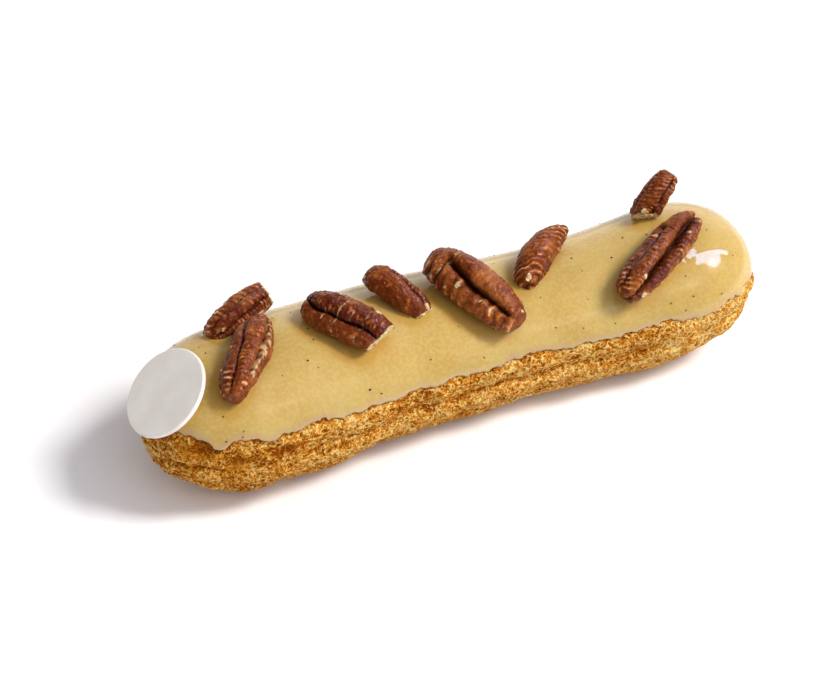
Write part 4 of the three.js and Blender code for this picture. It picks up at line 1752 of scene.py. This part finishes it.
@dataclass
class Studio:
    """White paper, soft light and the camera."""

    aim: Triple = (-7.16, 1.01, 15.14)
    eye: Triple = (-151.14, -344.88, 390.01)
    lens: float = 99.64
    sensor: float = 36
    clip: Pair = (10, 50000)  # what the camera shows, from near to far
    paper: float = 12000
    paper_grid: int = 24
    sky: float = 0.45
    sky_colour: str = "#fdfcff"

    def build(self) -> None:
        """Lay the paper, hang the lights, and set the camera up."""
        scene = bpy.context.scene
        scene.view_settings.view_transform = "Standard"
        scene.view_settings.look = "None"
        self.lay_paper()
        for name, panel in PANELS.items():
            self.hang(name, panel)
        world = bpy.data.worlds.new("studio")
        world.use_nodes = True
        backdrop = world.node_tree.nodes["Background"]
        backdrop.inputs["Color"].default_value = linear(self.sky_colour)
        backdrop.inputs["Strength"].default_value = self.sky
        world.cycles_visibility.glossy = False
        scene.world = world
        self.aim_camera()

    def aim_camera(self) -> None:
        """Put the camera in its place and turn it to its target."""
        camera = add_object("camera", bpy.data.cameras.new("camera"))
        camera.data.lens = self.lens
        camera.data.sensor_width, camera.data.sensor_fit = self.sensor, "HORIZONTAL"
        camera.data.clip_start, camera.data.clip_end = (end * METRE for end in self.clip)
        place, target = Vector(self.eye) * METRE, Vector(self.aim) * METRE
        camera.location = place
        camera.rotation_euler = (target - place).to_track_quat("-Z", "Y").to_euler()
        bpy.context.scene.camera = camera

    def hang(self, name: str, panel: Panel) -> None:
        """Hang one soft light, for matt surfaces only or for reflections only.

        Args:
            name: what it is called.
            panel: its place, size and glow.
        """
        light = bpy.data.lights.new(f"{name}_light", "AREA")
        light.shape = "RECTANGLE"
        light.size, light.size_y = panel.size[0] * METRE, panel.size[1] * METRE
        light.energy = panel.power()
        light.spread = math.radians(panel.spread)
        light.color = linear(panel.colour)[:3]
        thing = add_object(light.name, light)
        turn, rise = math.radians(panel.turn), math.radians(panel.rise)
        level = math.cos(rise)
        way = Vector((math.cos(turn) * level, math.sin(turn) * level, math.sin(rise)))
        facing = way.to_track_quat("Z", "Y").to_matrix()
        aside = facing @ Vector((*panel.shift, 0)) * METRE
        twist = Matrix.Rotation(math.radians(panel.twist), 3, "Z")
        thing.location = Vector(panel.target) * METRE + way * panel.distance * METRE + aside
        thing.rotation_euler = (facing @ twist).to_euler()
        thing.visible_camera = False
        mirrored = panel.seen is Seen.MIRRORED
        thing.visible_glossy, thing.visible_diffuse = mirrored, not mirrored
        thing.visible_transmission, thing.visible_volume_scatter = not mirrored, not mirrored

    def lay_paper(self) -> None:
        """Lay the floor as one large finely split sheet."""
        sheet = bmesh.new()
        bmesh.ops.create_grid(sheet, x_segments=self.paper_grid, y_segments=self.paper_grid,
                              size=self.paper * METRE / 2)
        mesh = bpy.data.meshes.new("studio_paper")
        sheet.to_mesh(mesh)
        sheet.free()
        mesh.materials.append(StudioPaper().make())
        floor = add_object("studio_paper", mesh)


# ---- Assembly --------------------------------------------------------------------------------

def scatter_vanilla(form: EclairForm, glaze: GlazeLine) -> None:
    """Stick the vanilla grains in the icing: those that show, and a few more all over.

    Args:
        form: the eclair's skin.
        glaze: the icing's edge.
    """
    dice = np.random.default_rng(7)
    spots = [(x, y, 0.2 + 0.24 * size) for x, y, size in VANILLA_AT]
    spots += [(dice.uniform(-62, 64), dice.uniform(-4, 16), dice.uniform(0.18, 0.34))
              for _ in range(26)]
    x, y, sizes = np.array(spots).T
    points, outward = form.lid(x, y)
    kept = glaze.above(points) > 0.8
    centres = points[kept] + outward[kept] * 0.04
    Grains("vanilla_grains", "icing", 301).build(VanillaSeed().make(), centres, sizes[kept])


def main() -> None:
    """Build every piece in order and report it."""
    logging.basicConfig(level=logging.INFO, format="%(name)s: %(message)s")
    form, glaze = EclairForm(), GlazeLine()
    Studio().build()
    ChouxBody(form, glaze).build(BakedChoux().make())
    roasted = RoastedPecan().make()
    stuck = [pecan.build(roasted) for pecan in PECANS]
    stuck.append(ChocolateRound().build(CastWhiteChocolate().make()))
    Icing(form, glaze).build(PouredIcing().make(), np.vstack(stuck))
    scatter_vanilla(form, glaze)


if __name__ == "__main__":
    main()
